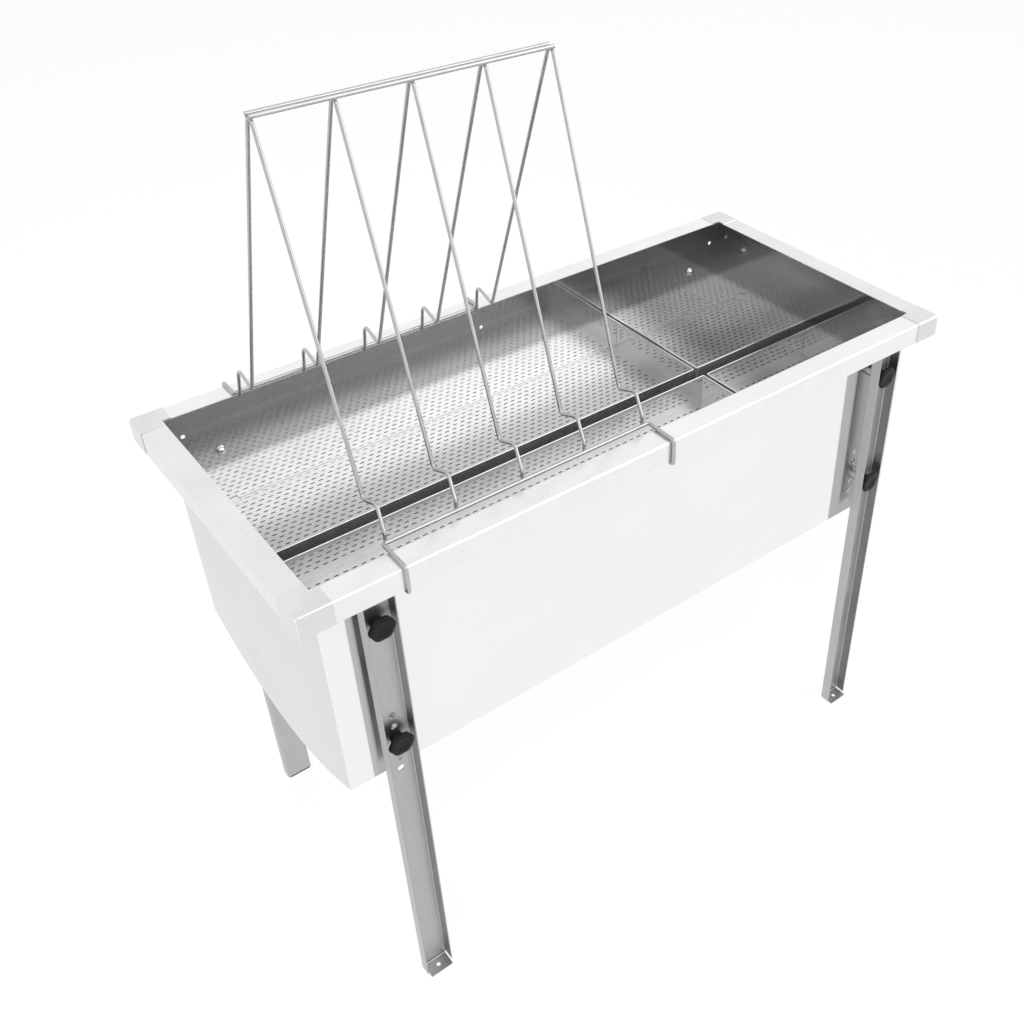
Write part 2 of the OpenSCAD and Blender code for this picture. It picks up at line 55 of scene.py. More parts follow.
class Side(Enum):
    """Front or back of the tank, as the sign of Y."""

    FRONT = -1.0
    BACK = 1.0


class End(Enum):
    """Left or right end of the tank, as the sign of X."""

    LEFT = -1.0
    RIGHT = 1.0


@dataclass(frozen=True)
class Corner:
    """A corner of the tank."""

    end: End
    side: Side

    @property
    def words(self) -> str:
        """The corner in the names of nodes, such as front_left."""
        return f"{self.side.name}_{self.end.name}".lower()

    @property
    def letters(self) -> str:
        """The corner in the names of knobs, such as fl."""
        return f"{self.side.name[0]}{self.end.name[0]}".lower()


CORNERS = tuple(Corner(end, side) for end, side in itertools.product(End, Side))


class GrainAxis(Enum):
    """Direction in which a sheet's rolling grain runs, as stretch factors of X, Y and Z."""

    ALONG_X = (0.04, 1.0, 1.0)
    ALONG_Y = (1.0, 0.04, 1.0)
    ALONG_Z = (1.0, 1.0, 0.04)
    EVEN = (1.0, 1.0, 1.0)


@dataclass(frozen=True)
class Finish:
    """A finish: its two tones, its gloss and the strength of its surface detail."""

    name: str
    slot: str
    light: tuple[float, float, float]
    dark: tuple[float, float, float]
    metallic: float
    rough_low: float
    rough_high: float
    grain_scale: float
    grain_axis: GrainAxis
    grain_bump: float
    smudge_scale: float
    ripple_scale: float = 6.0
    ripple_bump: float = 0.0
    specular: float = 0.5
    # Painted shade: factor on the colour of the tank's inner faces high up, 1.0 for none.
    inner_tint: float = 1.0


@dataclass(frozen=True)
class TankSizes:
    """Sizes shared by all sub-assemblies, in metres, with the floor at z = 0."""

    rim_z: float = 0.735
    half_l: float = 0.470
    half_w: float = 0.200
    sheet: float = 0.0012
    rim_w: float = 0.030
    skirt_h: float = 0.030
    leg_x: float = 0.408
    upper_drop: float = 0.071
    knob_spacing: float = 0.187
    # Painted shade: heights between which the colour of the tank's inner walls darkens fully, and the low
    # share of that darkening below them.
    dull_from_z: float = 0.632
    dull_to_z: float = 0.648
    dull_low: float = 0.05

    @property
    def rim_x(self) -> float:
        """Half the rim's length."""
        return self.half_l + self.rim_w

    @property
    def rim_y(self) -> float:
        """Half the rim's width."""
        return self.half_w + self.rim_w

    @property
    def inner_y(self) -> float:
        """Distance of a long wall's inner face from the middle."""
        return self.half_w - self.sheet

    def axis_frame(self, corner: Corner, y: float, z: float, way: float) -> Matrix:
        """Frame of a piece that is turned about one of the knobs' axes.

        Args:
            corner: the leg's corner.
            y: distance of the piece's foot from the tank's middle.
            z: height of the axis.
            way: 1 if the piece points into the tank, -1 if it points out.

        Returns:
            The matrix from the lathe's frame to the row frame.
        """
        turn = Matrix.Rotation(math.radians(90.0 * way * corner.side.value), 4, "X")
        return Matrix.Translation((corner.end.value * self.leg_x, corner.side.value * y, z)) @ turn

    @property
    def knob_heights(self) -> dict[str, float]:
        """Heights of a leg's two knobs and wall inserts, by the word for them in the node names."""
        upper = self.rim_z - self.upper_drop
        return {"upper": upper, "lower": upper - self.knob_spacing}


def add_node(tree: bpy.types.NodeTree, kind: str, inputs: dict[str | int, object],
             **options: object) -> bpy.types.Node:
    """Adds a shader node, sets its options, and links or fills its inputs.

    Args:
        tree: the nodes to add to.
        kind: the node's type.
        inputs: sockets to link or constants to fill in, by the input's name or number.
        options: the node's own settings.

    Returns:
        The new node.
    """
    node = tree.nodes.new(kind)
    for option, value in options.items():
        setattr(node, option, value)
    for place, value in inputs.items():
        if isinstance(value, bpy.types.NodeSocket):
            tree.links.new(value, node.inputs[place])
        else:
            node.inputs[place].default_value = value
    return node


def calculate(tree: bpy.types.NodeTree, operation: str,
              *values: bpy.types.NodeSocket | float) -> bpy.types.NodeSocket:
    """Adds a calculation with sockets or numbers to a node tree, and gives the socket with its result."""
    return add_node(tree, "ShaderNodeMath", dict(enumerate(values)), operation=operation).outputs[0]


class NodeGroups:
    """Shader node groups for the effects that several finishes share."""

    def __init__(self) -> None:
        """Builds the four groups once."""
        self.grain = self._noise_group("rolling_grain", detail=3.0, roughness=0.62)
        self.ripple = self._noise_group("sheet_ripple", detail=1.5, roughness=0.45)
        self.smudge = self._noise_group("handling_smudges", detail=5.0, roughness=0.58)
        # The fourth group is the mask of painted shade on the tank's upper inner walls.
        self.inside = self._inside_group("inside_of_tank", TankSizes())

    @staticmethod
    def _noise_group(name: str, detail: float, roughness: float) -> bpy.types.NodeTree:
        """Makes a group that turns Object coordinates into a stretched noise value.

        The value is noise(stretch * scale * p), with p the point in the object's own frame.

        Args:
            name: name of the group.
            detail: octaves of the noise.
            roughness: share that each octave keeps.

        Returns:
            The node group, with inputs Scale and Stretch and the output Value.
        """
        tree = bpy.data.node_groups.new(name, "ShaderNodeTree")
        tree.interface.new_socket("Scale", in_out="INPUT", socket_type="NodeSocketFloat")
        tree.interface.new_socket("Stretch", in_out="INPUT", socket_type="NodeSocketVector")
        tree.interface.new_socket("Value", in_out="OUTPUT", socket_type="NodeSocketFloat")
        given = add_node(tree, "NodeGroupInput", {}).outputs
        point = add_node(tree, "ShaderNodeTexCoord", {}).outputs["Object"]
        stretched = add_node(tree, "ShaderNodeVectorMath", {0: point, 1: given["Stretch"]},
                             operation="MULTIPLY")
        noise = add_node(tree, "ShaderNodeTexNoise", {
            "Vector": stretched.outputs[0], "Scale": given["Scale"], "Detail": detail,
            "Roughness": roughness})
        add_node(tree, "NodeGroupOutput", {"Value": noise.outputs["Fac"]})
        return tree

    @staticmethod
    def _inside_group(name: str, sizes: TankSizes) -> bpy.types.NodeTree:
        """Makes the mask of painted shade: 0 on the outer faces of the tank's sheets, low inside and 1 high
        up inside.

        The value is (|x| < half_l - t / 2) * (|y| < half_w - t / 2) * h, in Object coordinates, where h
        rises from a low share to 1 between two heights above the baskets.

        Args:
            name: name of the group.
            sizes: the tank's sizes.

        Returns:
            The node group, with the output Value.
        """
        tree = bpy.data.node_groups.new(name, "ShaderNodeTree")
        tree.interface.new_socket("Value", in_out="OUTPUT", socket_type="NodeSocketFloat")
        point = add_node(tree, "ShaderNodeTexCoord", {}).outputs["Object"]
        size = add_node(tree, "ShaderNodeVectorMath", {0: point}, operation="ABSOLUTE")
        split = add_node(tree, "ShaderNodeSeparateXYZ", {0: size.outputs[0]}).outputs
        along = calculate(tree, "LESS_THAN", split["X"], sizes.half_l - sizes.sheet / 2)
        across = calculate(tree, "LESS_THAN", split["Y"], sizes.half_w - sizes.sheet / 2)
        inside = calculate(tree, "MULTIPLY", along, across)
        # Painted shade grows from a low share to full between two heights.
        rise = add_node(tree, "ShaderNodeMapRange", {
            "Value": split["Z"], "From Min": sizes.dull_from_z, "From Max": sizes.dull_to_z,
            "To Min": sizes.dull_low}, interpolation_type="SMOOTHSTEP")
        share = calculate(tree, "MULTIPLY", inside, rise.outputs["Result"])
        add_node(tree, "NodeGroupOutput", {"Value": share})
        return tree


class Paint:
    """Makes one material for each finish.

    Noise values lie mostly between NOISE_LOW and NOISE_HIGH. The two heights are those of bumps at value 1.
    """

    GRAIN_SHARE = 0.45
    SMUDGE_SHARE = 0.55
    NOISE_LOW = 0.3
    NOISE_HIGH = 0.7
    GRAIN_HEIGHT = 0.0002
    RIPPLE_HEIGHT = 0.004

    def __init__(self) -> None:
        """Builds the shared groups and starts with no materials."""
        self.groups = NodeGroups()
        self.made: dict[str, bpy.types.Material] = {}

    def material(self, finish: Finish) -> bpy.types.Material:
        """Gives the material of a finish, and builds it at its first use.

        Colour goes from dark to light with the smudges and the grain, and gets painted shade on the tank's
        upper inner walls where the finish asks for it; roughness goes from low to high with the smudges, and
        the normal from a bump of ripple over a bump of grain.

        Args:
            finish: the finish to build.

        Returns:
            The material.
        """
        if finish.name in self.made:
            return self.made[finish.name]
        material = bpy.data.materials.new(finish.name)
        material.use_nodes = True
        tree = material.node_tree
        shader = tree.nodes["Principled BSDF"].inputs
        shader["Metallic"].default_value = finish.metallic
        shader["Specular IOR Level"].default_value = finish.specular
        grain = self._noise(tree, self.groups.grain, finish.grain_scale, finish.grain_axis)
        smudge = self._noise(tree, self.groups.smudge, finish.smudge_scale)
        smudges = calculate(tree, "MULTIPLY", smudge, self.SMUDGE_SHARE)
        ramp = add_node(tree, "ShaderNodeValToRGB", {
            "Fac": calculate(tree, "MULTIPLY_ADD", grain, self.GRAIN_SHARE, smudges)})
        ends = ((self.NOISE_LOW, finish.dark), (self.NOISE_HIGH, finish.light))
        for stop, (position, colour) in zip(ramp.color_ramp.elements, ends):
            stop.position = position
            stop.color = (*colour, 1.0)
        tree.links.new(self._tinted(tree, ramp.outputs["Color"], finish), shader["Base Color"])
        gloss = add_node(tree, "ShaderNodeMapRange", {
            "Value": smudge, "From Min": self.NOISE_LOW, "From Max": self.NOISE_HIGH,
            "To Min": finish.rough_low, "To Max": finish.rough_high})
        tree.links.new(gloss.outputs["Result"], shader["Roughness"])
        bump = add_node(tree, "ShaderNodeBump", {
            "Height": grain, "Strength": finish.grain_bump, "Distance": self.GRAIN_HEIGHT})
        if finish.ripple_bump > 0.0:
            ripple = self._noise(tree, self.groups.ripple, finish.ripple_scale)
            bump = add_node(tree, "ShaderNodeBump", {
                "Height": ripple, "Strength": finish.ripple_bump, "Distance": self.RIPPLE_HEIGHT,
                "Normal": bump.outputs["Normal"]})
        tree.links.new(bump.outputs["Normal"], shader["Normal"])
        self.made[finish.name] = material
        return material

    def _tinted(self, tree: bpy.types.NodeTree, colour: bpy.types.NodeSocket,
                finish: Finish) -> bpy.types.NodeSocket:
        """Paints shade on the tank's inner faces: darkens the colour high up inside, where the finish asks
        for it.

        Args:
            tree: the material's nodes.
            colour: the colour outside.
            finish: the finish, whose factor of painted shade is the factor inside.

        Returns:
            The socket with the colour to use.
        """
        if finish.inner_tint == 1.0:
            return colour
        # Painted shade: the mask darkens the colour by the finish's factor on the tank's upper inner walls.
        inside = add_node(tree, "ShaderNodeGroup", {}, node_tree=self.groups.inside).outputs["Value"]
        shade_grey = (*[finish.inner_tint] * 3, 1.0)
        mix = add_node(tree, "ShaderNodeMix", {"Factor": inside, "A": colour, "B": shade_grey},
                       data_type="RGBA", blend_type="MULTIPLY")
        return mix.outputs["Result"]

    @staticmethod
    def _noise(tree: bpy.types.NodeTree, group: bpy.types.NodeTree, scale: float,
               axis: GrainAxis = GrainAxis.EVEN) -> bpy.types.NodeSocket:
        """Puts a noise group into a material with its own scale and stretch.

        Args:
            tree: the material's nodes.
            group: the group to place.
            scale: noise cells per metre.
            axis: direction in which the noise is stretched.

        Returns:
            The socket with the noise's value.
        """
        inputs = {"Scale": scale, "Stretch": axis.value}
        return add_node(tree, "ShaderNodeGroup", inputs, node_tree=group).outputs["Value"]


def steel(name: str, slot: str, light: float, dark: float, rough: tuple[float, float],
          grain: tuple[float, GrainAxis, float], ripple: tuple[float, float], smudge_scale: float,
          metallic: float = 1.0, inner_tint: float = 1.0) -> Finish:
    """Describes a steel finish, whose greys are slightly warm.

    Args:
        name: the material's name.
        slot: the record's material slot.
        light: lighter grey.
        dark: darker grey.
        rough: lowest and highest roughness.
        grain: scale, direction and bump of the rolling grain.
        ripple: scale and bump of the sheet's ripple.
        smudge_scale: scale of the smudges.
        metallic: share of the metal's mirror over a plain grey.
        inner_tint: factor of painted shade, which darkens the colour high up inside the tank.

    Returns:
        The finish.
    """
    tones = [(grey, grey, grey - STEEL_WARMTH) for grey in (light, dark)]
    return Finish(name, slot, *tones, metallic, *rough, *grain, smudge_scale, *ripple, inner_tint=inner_tint)


# The tank's wall and end sheets get painted shade: their colour is darkened to about half on the upper inner
# walls.
TANK_WALL = steel("tank_wall_steel", "tank_steel", 0.89, 0.85, (0.04, 0.08),
                  (1600.0, GrainAxis.ALONG_X, 0.03), (4.0, 0.30), 5.0, metallic=0.95, inner_tint=0.50)
TANK_END = steel("tank_end_steel", "tank_steel", 0.71, 0.58, (0.05, 0.10),
                 (1400.0, GrainAxis.ALONG_Y, 0.04), (4.0, 0.60), 5.0, metallic=0.95, inner_tint=0.55)
RIM_SATIN = steel("rim_satin_steel", "tank_steel", 0.93, 0.82, (0.20, 0.34),
                  (1300.0, GrainAxis.ALONG_X, 0.05), (9.0, 0.05), 14.0, metallic=0.95)
END_RIM_SATIN = steel("end_rim_satin_steel", "tank_steel", 0.88, 0.76, (0.20, 0.34),
                      (1300.0, GrainAxis.ALONG_Y, 0.05), (9.0, 0.05), 14.0)
CAP_SATIN = steel("cap_satin_steel", "tank_steel", 0.82, 0.70, (0.20, 0.34),
                  (1500.0, GrainAxis.EVEN, 0.05), (12.0, 0.04), 22.0)
SIEVE_BRIGHT = steel("sieve_bright_steel", "sieve_steel", 0.64, 0.56, (0.28, 0.38),
                     (1500.0, GrainAxis.ALONG_X, 0.04), (8.0, 0.06), 12.0)
SIEVE_WALL = steel("sieve_wall_steel", "sieve_steel", 0.90, 0.82, (0.03, 0.07),
                   (1500.0, GrainAxis.ALONG_X, 0.04), (8.0, 0.06), 12.0, metallic=0.96)
LEG_SATIN = steel("leg_satin_steel", "leg_steel", 0.56, 0.44, (0.30, 0.46),
                  (1100.0, GrainAxis.ALONG_Z, 0.08), (10.0, 0.04), 16.0)
WIRE_BRIGHT = steel("wire_bright_steel", "wire_steel", 0.60, 0.42, (0.18, 0.34),
                    (1600.0, GrainAxis.EVEN, 0.06), (20.0, 0.0), 40.0)
DOME_BRIGHT = steel("dome_bright_steel", "wire_steel", 0.80, 0.62, (0.08, 0.18),
                    (1800.0, GrainAxis.EVEN, 0.04), (20.0, 0.0), 60.0)
KNOB_MOULDED = Finish("knob_moulded_black", "knob_black", (0.007, 0.007, 0.0075), (0.004, 0.004, 0.0042),
                      0.0, 0.34, 0.52, 2600.0, GrainAxis.EVEN, 0.18, 45.0, specular=0.2)
SEAL_RUBBER = Finish("seal_black_rubber", "seal_rubber", (0.03, 0.03, 0.03), (0.016, 0.016, 0.016),
                     0.0, 0.6, 0.8, 2200.0, GrainAxis.EVEN, 0.12, 30.0)


def grid_quads(rows: int, columns: int, wrap_rows: bool = False, wrap_columns: bool = False) -> np.ndarray:
    """Lists the quads of a grid of points kept row by row.

    Quad (i, j) joins points (i, j), (i, j+1), (i+1, j+1) and (i+1, j), with wrapping where asked.

    Args:
        rows: points along the first parameter.
        columns: points along the second parameter.
        wrap_rows: True to close the first parameter.
        wrap_columns: True to close the second parameter.

    Returns:
        Integer array of shape (quads, 4).
    """
    i = np.arange(rows if wrap_rows else rows - 1)
    j = np.arange(columns if wrap_columns else columns - 1)
    a, b = np.meshgrid(i, j, indexing="ij")
    c, d = (a + 1) % rows, (b + 1) % columns
    quads = np.stack([a * columns + b, a * columns + d, c * columns + d, c * columns + b], axis=-1)
    return quads.reshape(-1, 4)


def stacked(*coordinates: np.ndarray | float) -> np.ndarray:
    """Makes points of their coordinates, each of them an array or one number that all points share."""
    return np.stack(np.broadcast_arrays(*coordinates), axis=-1)


def arc(centre: tuple[float, float], radius: float, start: float, end: float, steps: int) -> np.ndarray:
    """Points of a circular arc: centre + radius * (cos a, sin a), a from start to end in degrees.

    Args:
        centre: the circle's centre.
        radius: the circle's radius.
        start: first angle in degrees.
        end: last angle in degrees.
        steps: number of points.

    Returns:
        Array of shape (steps, 2).
    """
    a = np.radians(np.linspace(start, end, steps))
    return stacked(centre[0] + radius * np.cos(a), centre[1] + radius * np.sin(a))


def round_corner(depth: np.ndarray, radius: float, reach: tuple[float, float], steps: int) -> np.ndarray:
    """Plan of an outline that is carried round a square corner: an arc outside, a mitre further in.

    With q = max(d, r), a point at depth d and angle a of the turn is (q, q) - max(r - d, 0) * (cos a, sin a).

    Args:
        depth: depths of the outline's points behind the outer face.
        radius: radius of the outer face at the corner.
        reach: lengths of the two sides, as far as the outline goes along them.
        steps: number of places in the turn.

    Returns:
        Array of shape (steps + 2, points of the outline, 2).
    """
    a = np.radians(np.linspace(90.0, 0.0, steps))[:, None]
    q, turn = np.maximum(depth, radius), np.maximum(radius - depth, 0.0)
    bend = stacked(q - turn * np.cos(a), q - turn * np.sin(a))
    return np.concatenate([stacked(reach[0], depth)[None], bend, stacked(depth, reach[1])[None]])


def filleted(route: np.ndarray, radius: float, steps: int = 9) -> np.ndarray:
    """Rounds the corners of a route of straight lines.

    At a corner with unit ways u and w and turn angle t, the bend starts r * tan(t / 2) before it, and its
    point at angle a is start + r * sin(a) * u + r * (1 - cos(a)) * n, with n the unit part of w square to u.

    Args:
        route: corner points, shape (m, 3).
        radius: radius of the bends.
        steps: points in each bend.

    Returns:
        Array of points along the rounded route.
    """
    parts = [route[:1]]
    for before, corner, after in zip(route[:-2], route[1:-1], route[2:]):
        u = (corner - before) / np.linalg.norm(corner - before)
        w = (after - corner) / np.linalg.norm(after - corner)
        turn = math.acos(float(np.clip(u @ w, -1.0, 1.0)))
        n = w - (w @ u) * u
        n = n / np.linalg.norm(n)
        start = corner - radius * math.tan(turn / 2) * u
        a = np.linspace(0.0, turn, steps)[:, None]
        parts.append(start + radius * np.sin(a) * u + radius * (1 - np.cos(a)) * n)
    parts.append(route[-1:])
    return np.concatenate(parts)


class Shell:
    """Collects patches of points and faces, and makes one object of them."""

    SLANT = np.array([0.36, 0.48, 0.80])

    def __init__(self) -> None:
        """Starts with no patches."""
        self.points: list[np.ndarray] = []
        self.faces: list[list[int]] = []
        self.count = 0

    def add(self, points: np.ndarray, *faces: np.ndarray) -> None:
        """Adds a patch.

        Args:
            points: array of shape (n, 3).
            faces: arrays of point numbers, one row for each face.
        """
        for group in faces:
            self.faces.extend((np.asarray(group) + self.count).tolist())
        self.points.append(np.asarray(points, dtype=float))
        self.count += len(points)

    def add_loft(self, rings: np.ndarray, closed_path: bool = False, open_profile: bool = False) -> None:
        """Adds a profile carried along a path.

        Args:
            rings: points of shape (path, profile, 3).
            closed_path: True if the last ring joins the first.
            open_profile: True if the profile's ends stay apart, so that no caps are made.
        """
        m, n, _ = rings.shape
        faces = [grid_quads(m, n, closed_path, not open_profile)]
        if not closed_path and not open_profile:
            faces.append(np.arange(n)[None, ::-1])
            faces.append(((m - 1) * n + np.arange(n))[None, :])
        self.add(rings.reshape(-1, 3), *faces)

    def add_tube(self, path: np.ndarray, radius: float, sides: int = 14) -> None:
        """Adds a round bar along a path: p + r * (cos a * n + sin a * b), with n and b square to the path.

        n is the part of the fixed vector SLANT that is square to the path, and b = t x n.

        Args:
            path: points of shape (m, 3).
            radius: radius of the bar.
            sides: points round it.
        """
        t = np.gradient(path, axis=0)
        t[0], t[-1] = path[1] - path[0], path[-1] - path[-2]
        t /= np.linalg.norm(t, axis=1, keepdims=True)
        n = self.SLANT - (t @ self.SLANT)[:, None] * t
        n /= np.linalg.norm(n, axis=1, keepdims=True)
        b = np.cross(t, n)
        a = np.linspace(0, 2 * math.pi, sides, endpoint=False)[None, :, None]
        self.add_loft(path[:, None] + radius * (np.cos(a) * n[:, None] + np.sin(a) * b[:, None]))

    def add_lathe(self, profile: np.ndarray, place: Matrix, sides: int = 48, lobes: int = 0,
                  lobe_depth: np.ndarray | float = 0.0) -> None:
        """Adds a turned shape: (r * cos a, r * sin a, h), with r less by depth * (1 - cos(lobes * a)) / 2.

        Args:
            profile: radii and heights, shape (n, 2), from one pole to the other.
            place: matrix from the lathe's frame to the row frame.
            sides: points round the axis.
            lobes: number of lobes, 0 for none.
            lobe_depth: depth of the lobes at each profile point, as a share of the radius.
        """
        a = np.linspace(0, 2 * math.pi, sides, endpoint=False)
        r = profile[:, :1] * (1.0 - np.reshape(lobe_depth, (-1, 1)) * (1.0 - np.cos(lobes * a)) / 2.0)
        points = stacked(r * np.cos(a), r * np.sin(a), profile[:, 1:])
        m = np.array(place)
        self.add_loft(points @ m[:3, :3].T + m[:3, 3])

    def finish(self, name: str, body: str, finish: Finish, paint: Paint, replaces: tuple[str, ...] = (),
               sharp: float = SHARP_ANGLE) -> bpy.types.Object:
        """Makes the object, welds its patches, dresses it and lets it ride on its body.

        Args:
            name: the piece's name.
            body: the CAD body it rides on.
            finish: its finish.
            paint: maker of the materials.
            replaces: CAD nodes it stands for.
            sharp: angle above which an edge stays sharp.

        Returns:
            The new object.
        """
        mesh = bpy.data.meshes.new(name)
        mesh.from_pydata(np.concatenate(self.points).tolist(), [], self.faces)
        work = bmesh.new()
        work.from_mesh(mesh)
        bmesh.ops.remove_doubles(work, verts=work.verts, dist=WELD_DISTANCE)
        bmesh.ops.dissolve_degenerate(work, edges=work.edges, dist=WELD_DISTANCE)
        bmesh.ops.recalc_face_normals(work, faces=work.faces)
        work.to_mesh(mesh)
        work.free()
        mesh.polygons.foreach_set("use_smooth", np.ones(len(mesh.polygons), dtype=bool))
        mesh.set_sharp_from_angle(angle=sharp)
        mesh.materials.append(paint.material(finish))
        piece = bpy.data.objects.new(name, mesh)
        bpy.context.scene.collection.objects.link(piece)
        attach(piece, body)
        if replaces:
            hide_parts(*replaces)
        LOG.info("%s: %d faces", name, len(mesh.polygons))
        return piece


def dress(finish: Finish, paint: Paint, *nodes: str) -> None:
    """Gives CAD nodes the material of a finish.

    Args:
        finish: the finish.
        paint: maker of the materials.
        nodes: the nodes' names.
    """
    for node in nodes:
        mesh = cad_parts[node].data
        mesh.materials.clear()
        mesh.materials.append(paint.material(finish))
        LOG.info("%s: dressed as %s", node, finish.name)


@dataclass
class TankShell:
    """The tank's sheets, its folded rims and its corner caps."""

    sizes: TankSizes
    paint: Paint
    fold_r: float = 0.0030
    fold_steps: int = 8
    cap_t: float = 0.001
    cap_sheet: float = 0.0009
    cap_reach: float = 0.042
    cap_corner_r: float = 0.004

    def build(self) -> None:
        """Dresses the sheets, then makes the rims and the caps."""
        dress(TANK_WALL, self.paint, "front_wall", "back_wall")
        dress(RIM_SATIN, self.paint, "rolled_bottom")
        dress(TANK_END, self.paint, "left_end", "right_end")
        dress(SIEVE_BRIGHT, self.paint, "front_ledge", "back_ledge")
        dress(SIEVE_WALL, self.paint, "centre_beam")
        s = self.sizes
        for side in Side:
            self._rim(f"{side.name.lower()}_rim", RIM_SATIN, (s.rim_x, s.rim_y), side)
        for end in End:
            self._rim(f"{end.name.lower()}_rim", END_RIM_SATIN, (s.inner_y, s.rim_x), end)
            for side in Side:
                self._corner_cap(Corner(end, side))

    def _profile(self, lift: float, thick: float) -> np.ndarray:
        """Outline of a folded rim as (inward distance, height): flat top, round fold and skirt.

        Args:
            lift: distance by which the outline stands outside the rim's faces.
            thick: thickness of the sheet.

        Returns:
            Closed outline of shape (n, 2).
        """
        s = self.sizes
        top, low, inner = s.rim_z + lift, s.rim_z - s.skirt_h, s.rim_w + s.sheet
        r = self.fold_r + lift
        outside = arc((r - lift, top - r), r, 90.0, 180.0, self.fold_steps)
        inside = arc((r - lift, top - r), r - thick, 180.0, 90.0, self.fold_steps)
        edge = [[-lift, low + EDGE_BREAK], [-lift + EDGE_BREAK, low],
                [thick - lift - EDGE_BREAK, low], [thick - lift, low + EDGE_BREAK]]
        return np.concatenate([[[inner, top]], outside, edge, inside, [[inner, top - thick]]])

    def _rim(self, name: str, finish: Finish, reach: tuple[float, float], where: Side | End) -> None:
        """Carries the rim's outline along X on a side of the tank, or along Y on an end.

        Args:
            name: the rim's node.
            finish: its finish.
            reach: half its length, and the distance of its outer face from the middle.
            where: the side or the end.
        """
        inward, z = self._profile(0.0, self.sizes.sheet).T
        half, out = reach
        run, across = np.array([[-half], [half]]), where.value * (out - inward)
        plan = (run, across) if isinstance(where, Side) else (across, run)
        shell = Shell()
        shell.add_loft(stacked(*plan, z))
        shell.finish(f"{name}_folded", "tank", finish, self.paint, (name,))

    def _corner_cap(self, corner: Corner) -> None:
        """Carries the outline round a corner of the rim.

        Args:
            corner: the cap's corner.
        """
        s = self.sizes
        inward, z = self._profile(self.cap_t, self.cap_sheet).T
        plan = round_corner(inward, self.cap_corner_r, (self.cap_reach, self.cap_reach), self.fold_steps + 1)
        x = corner.end.value * (s.rim_x - plan[..., 0])
        y = corner.side.value * (s.rim_y - plan[..., 1])
        shell = Shell()
        shell.add_loft(stacked(x, y, z))
        name = f"corner_cap_{corner.words}"
        shell.finish(f"{name}_folded", "tank", CAP_SATIN, self.paint, (name,))


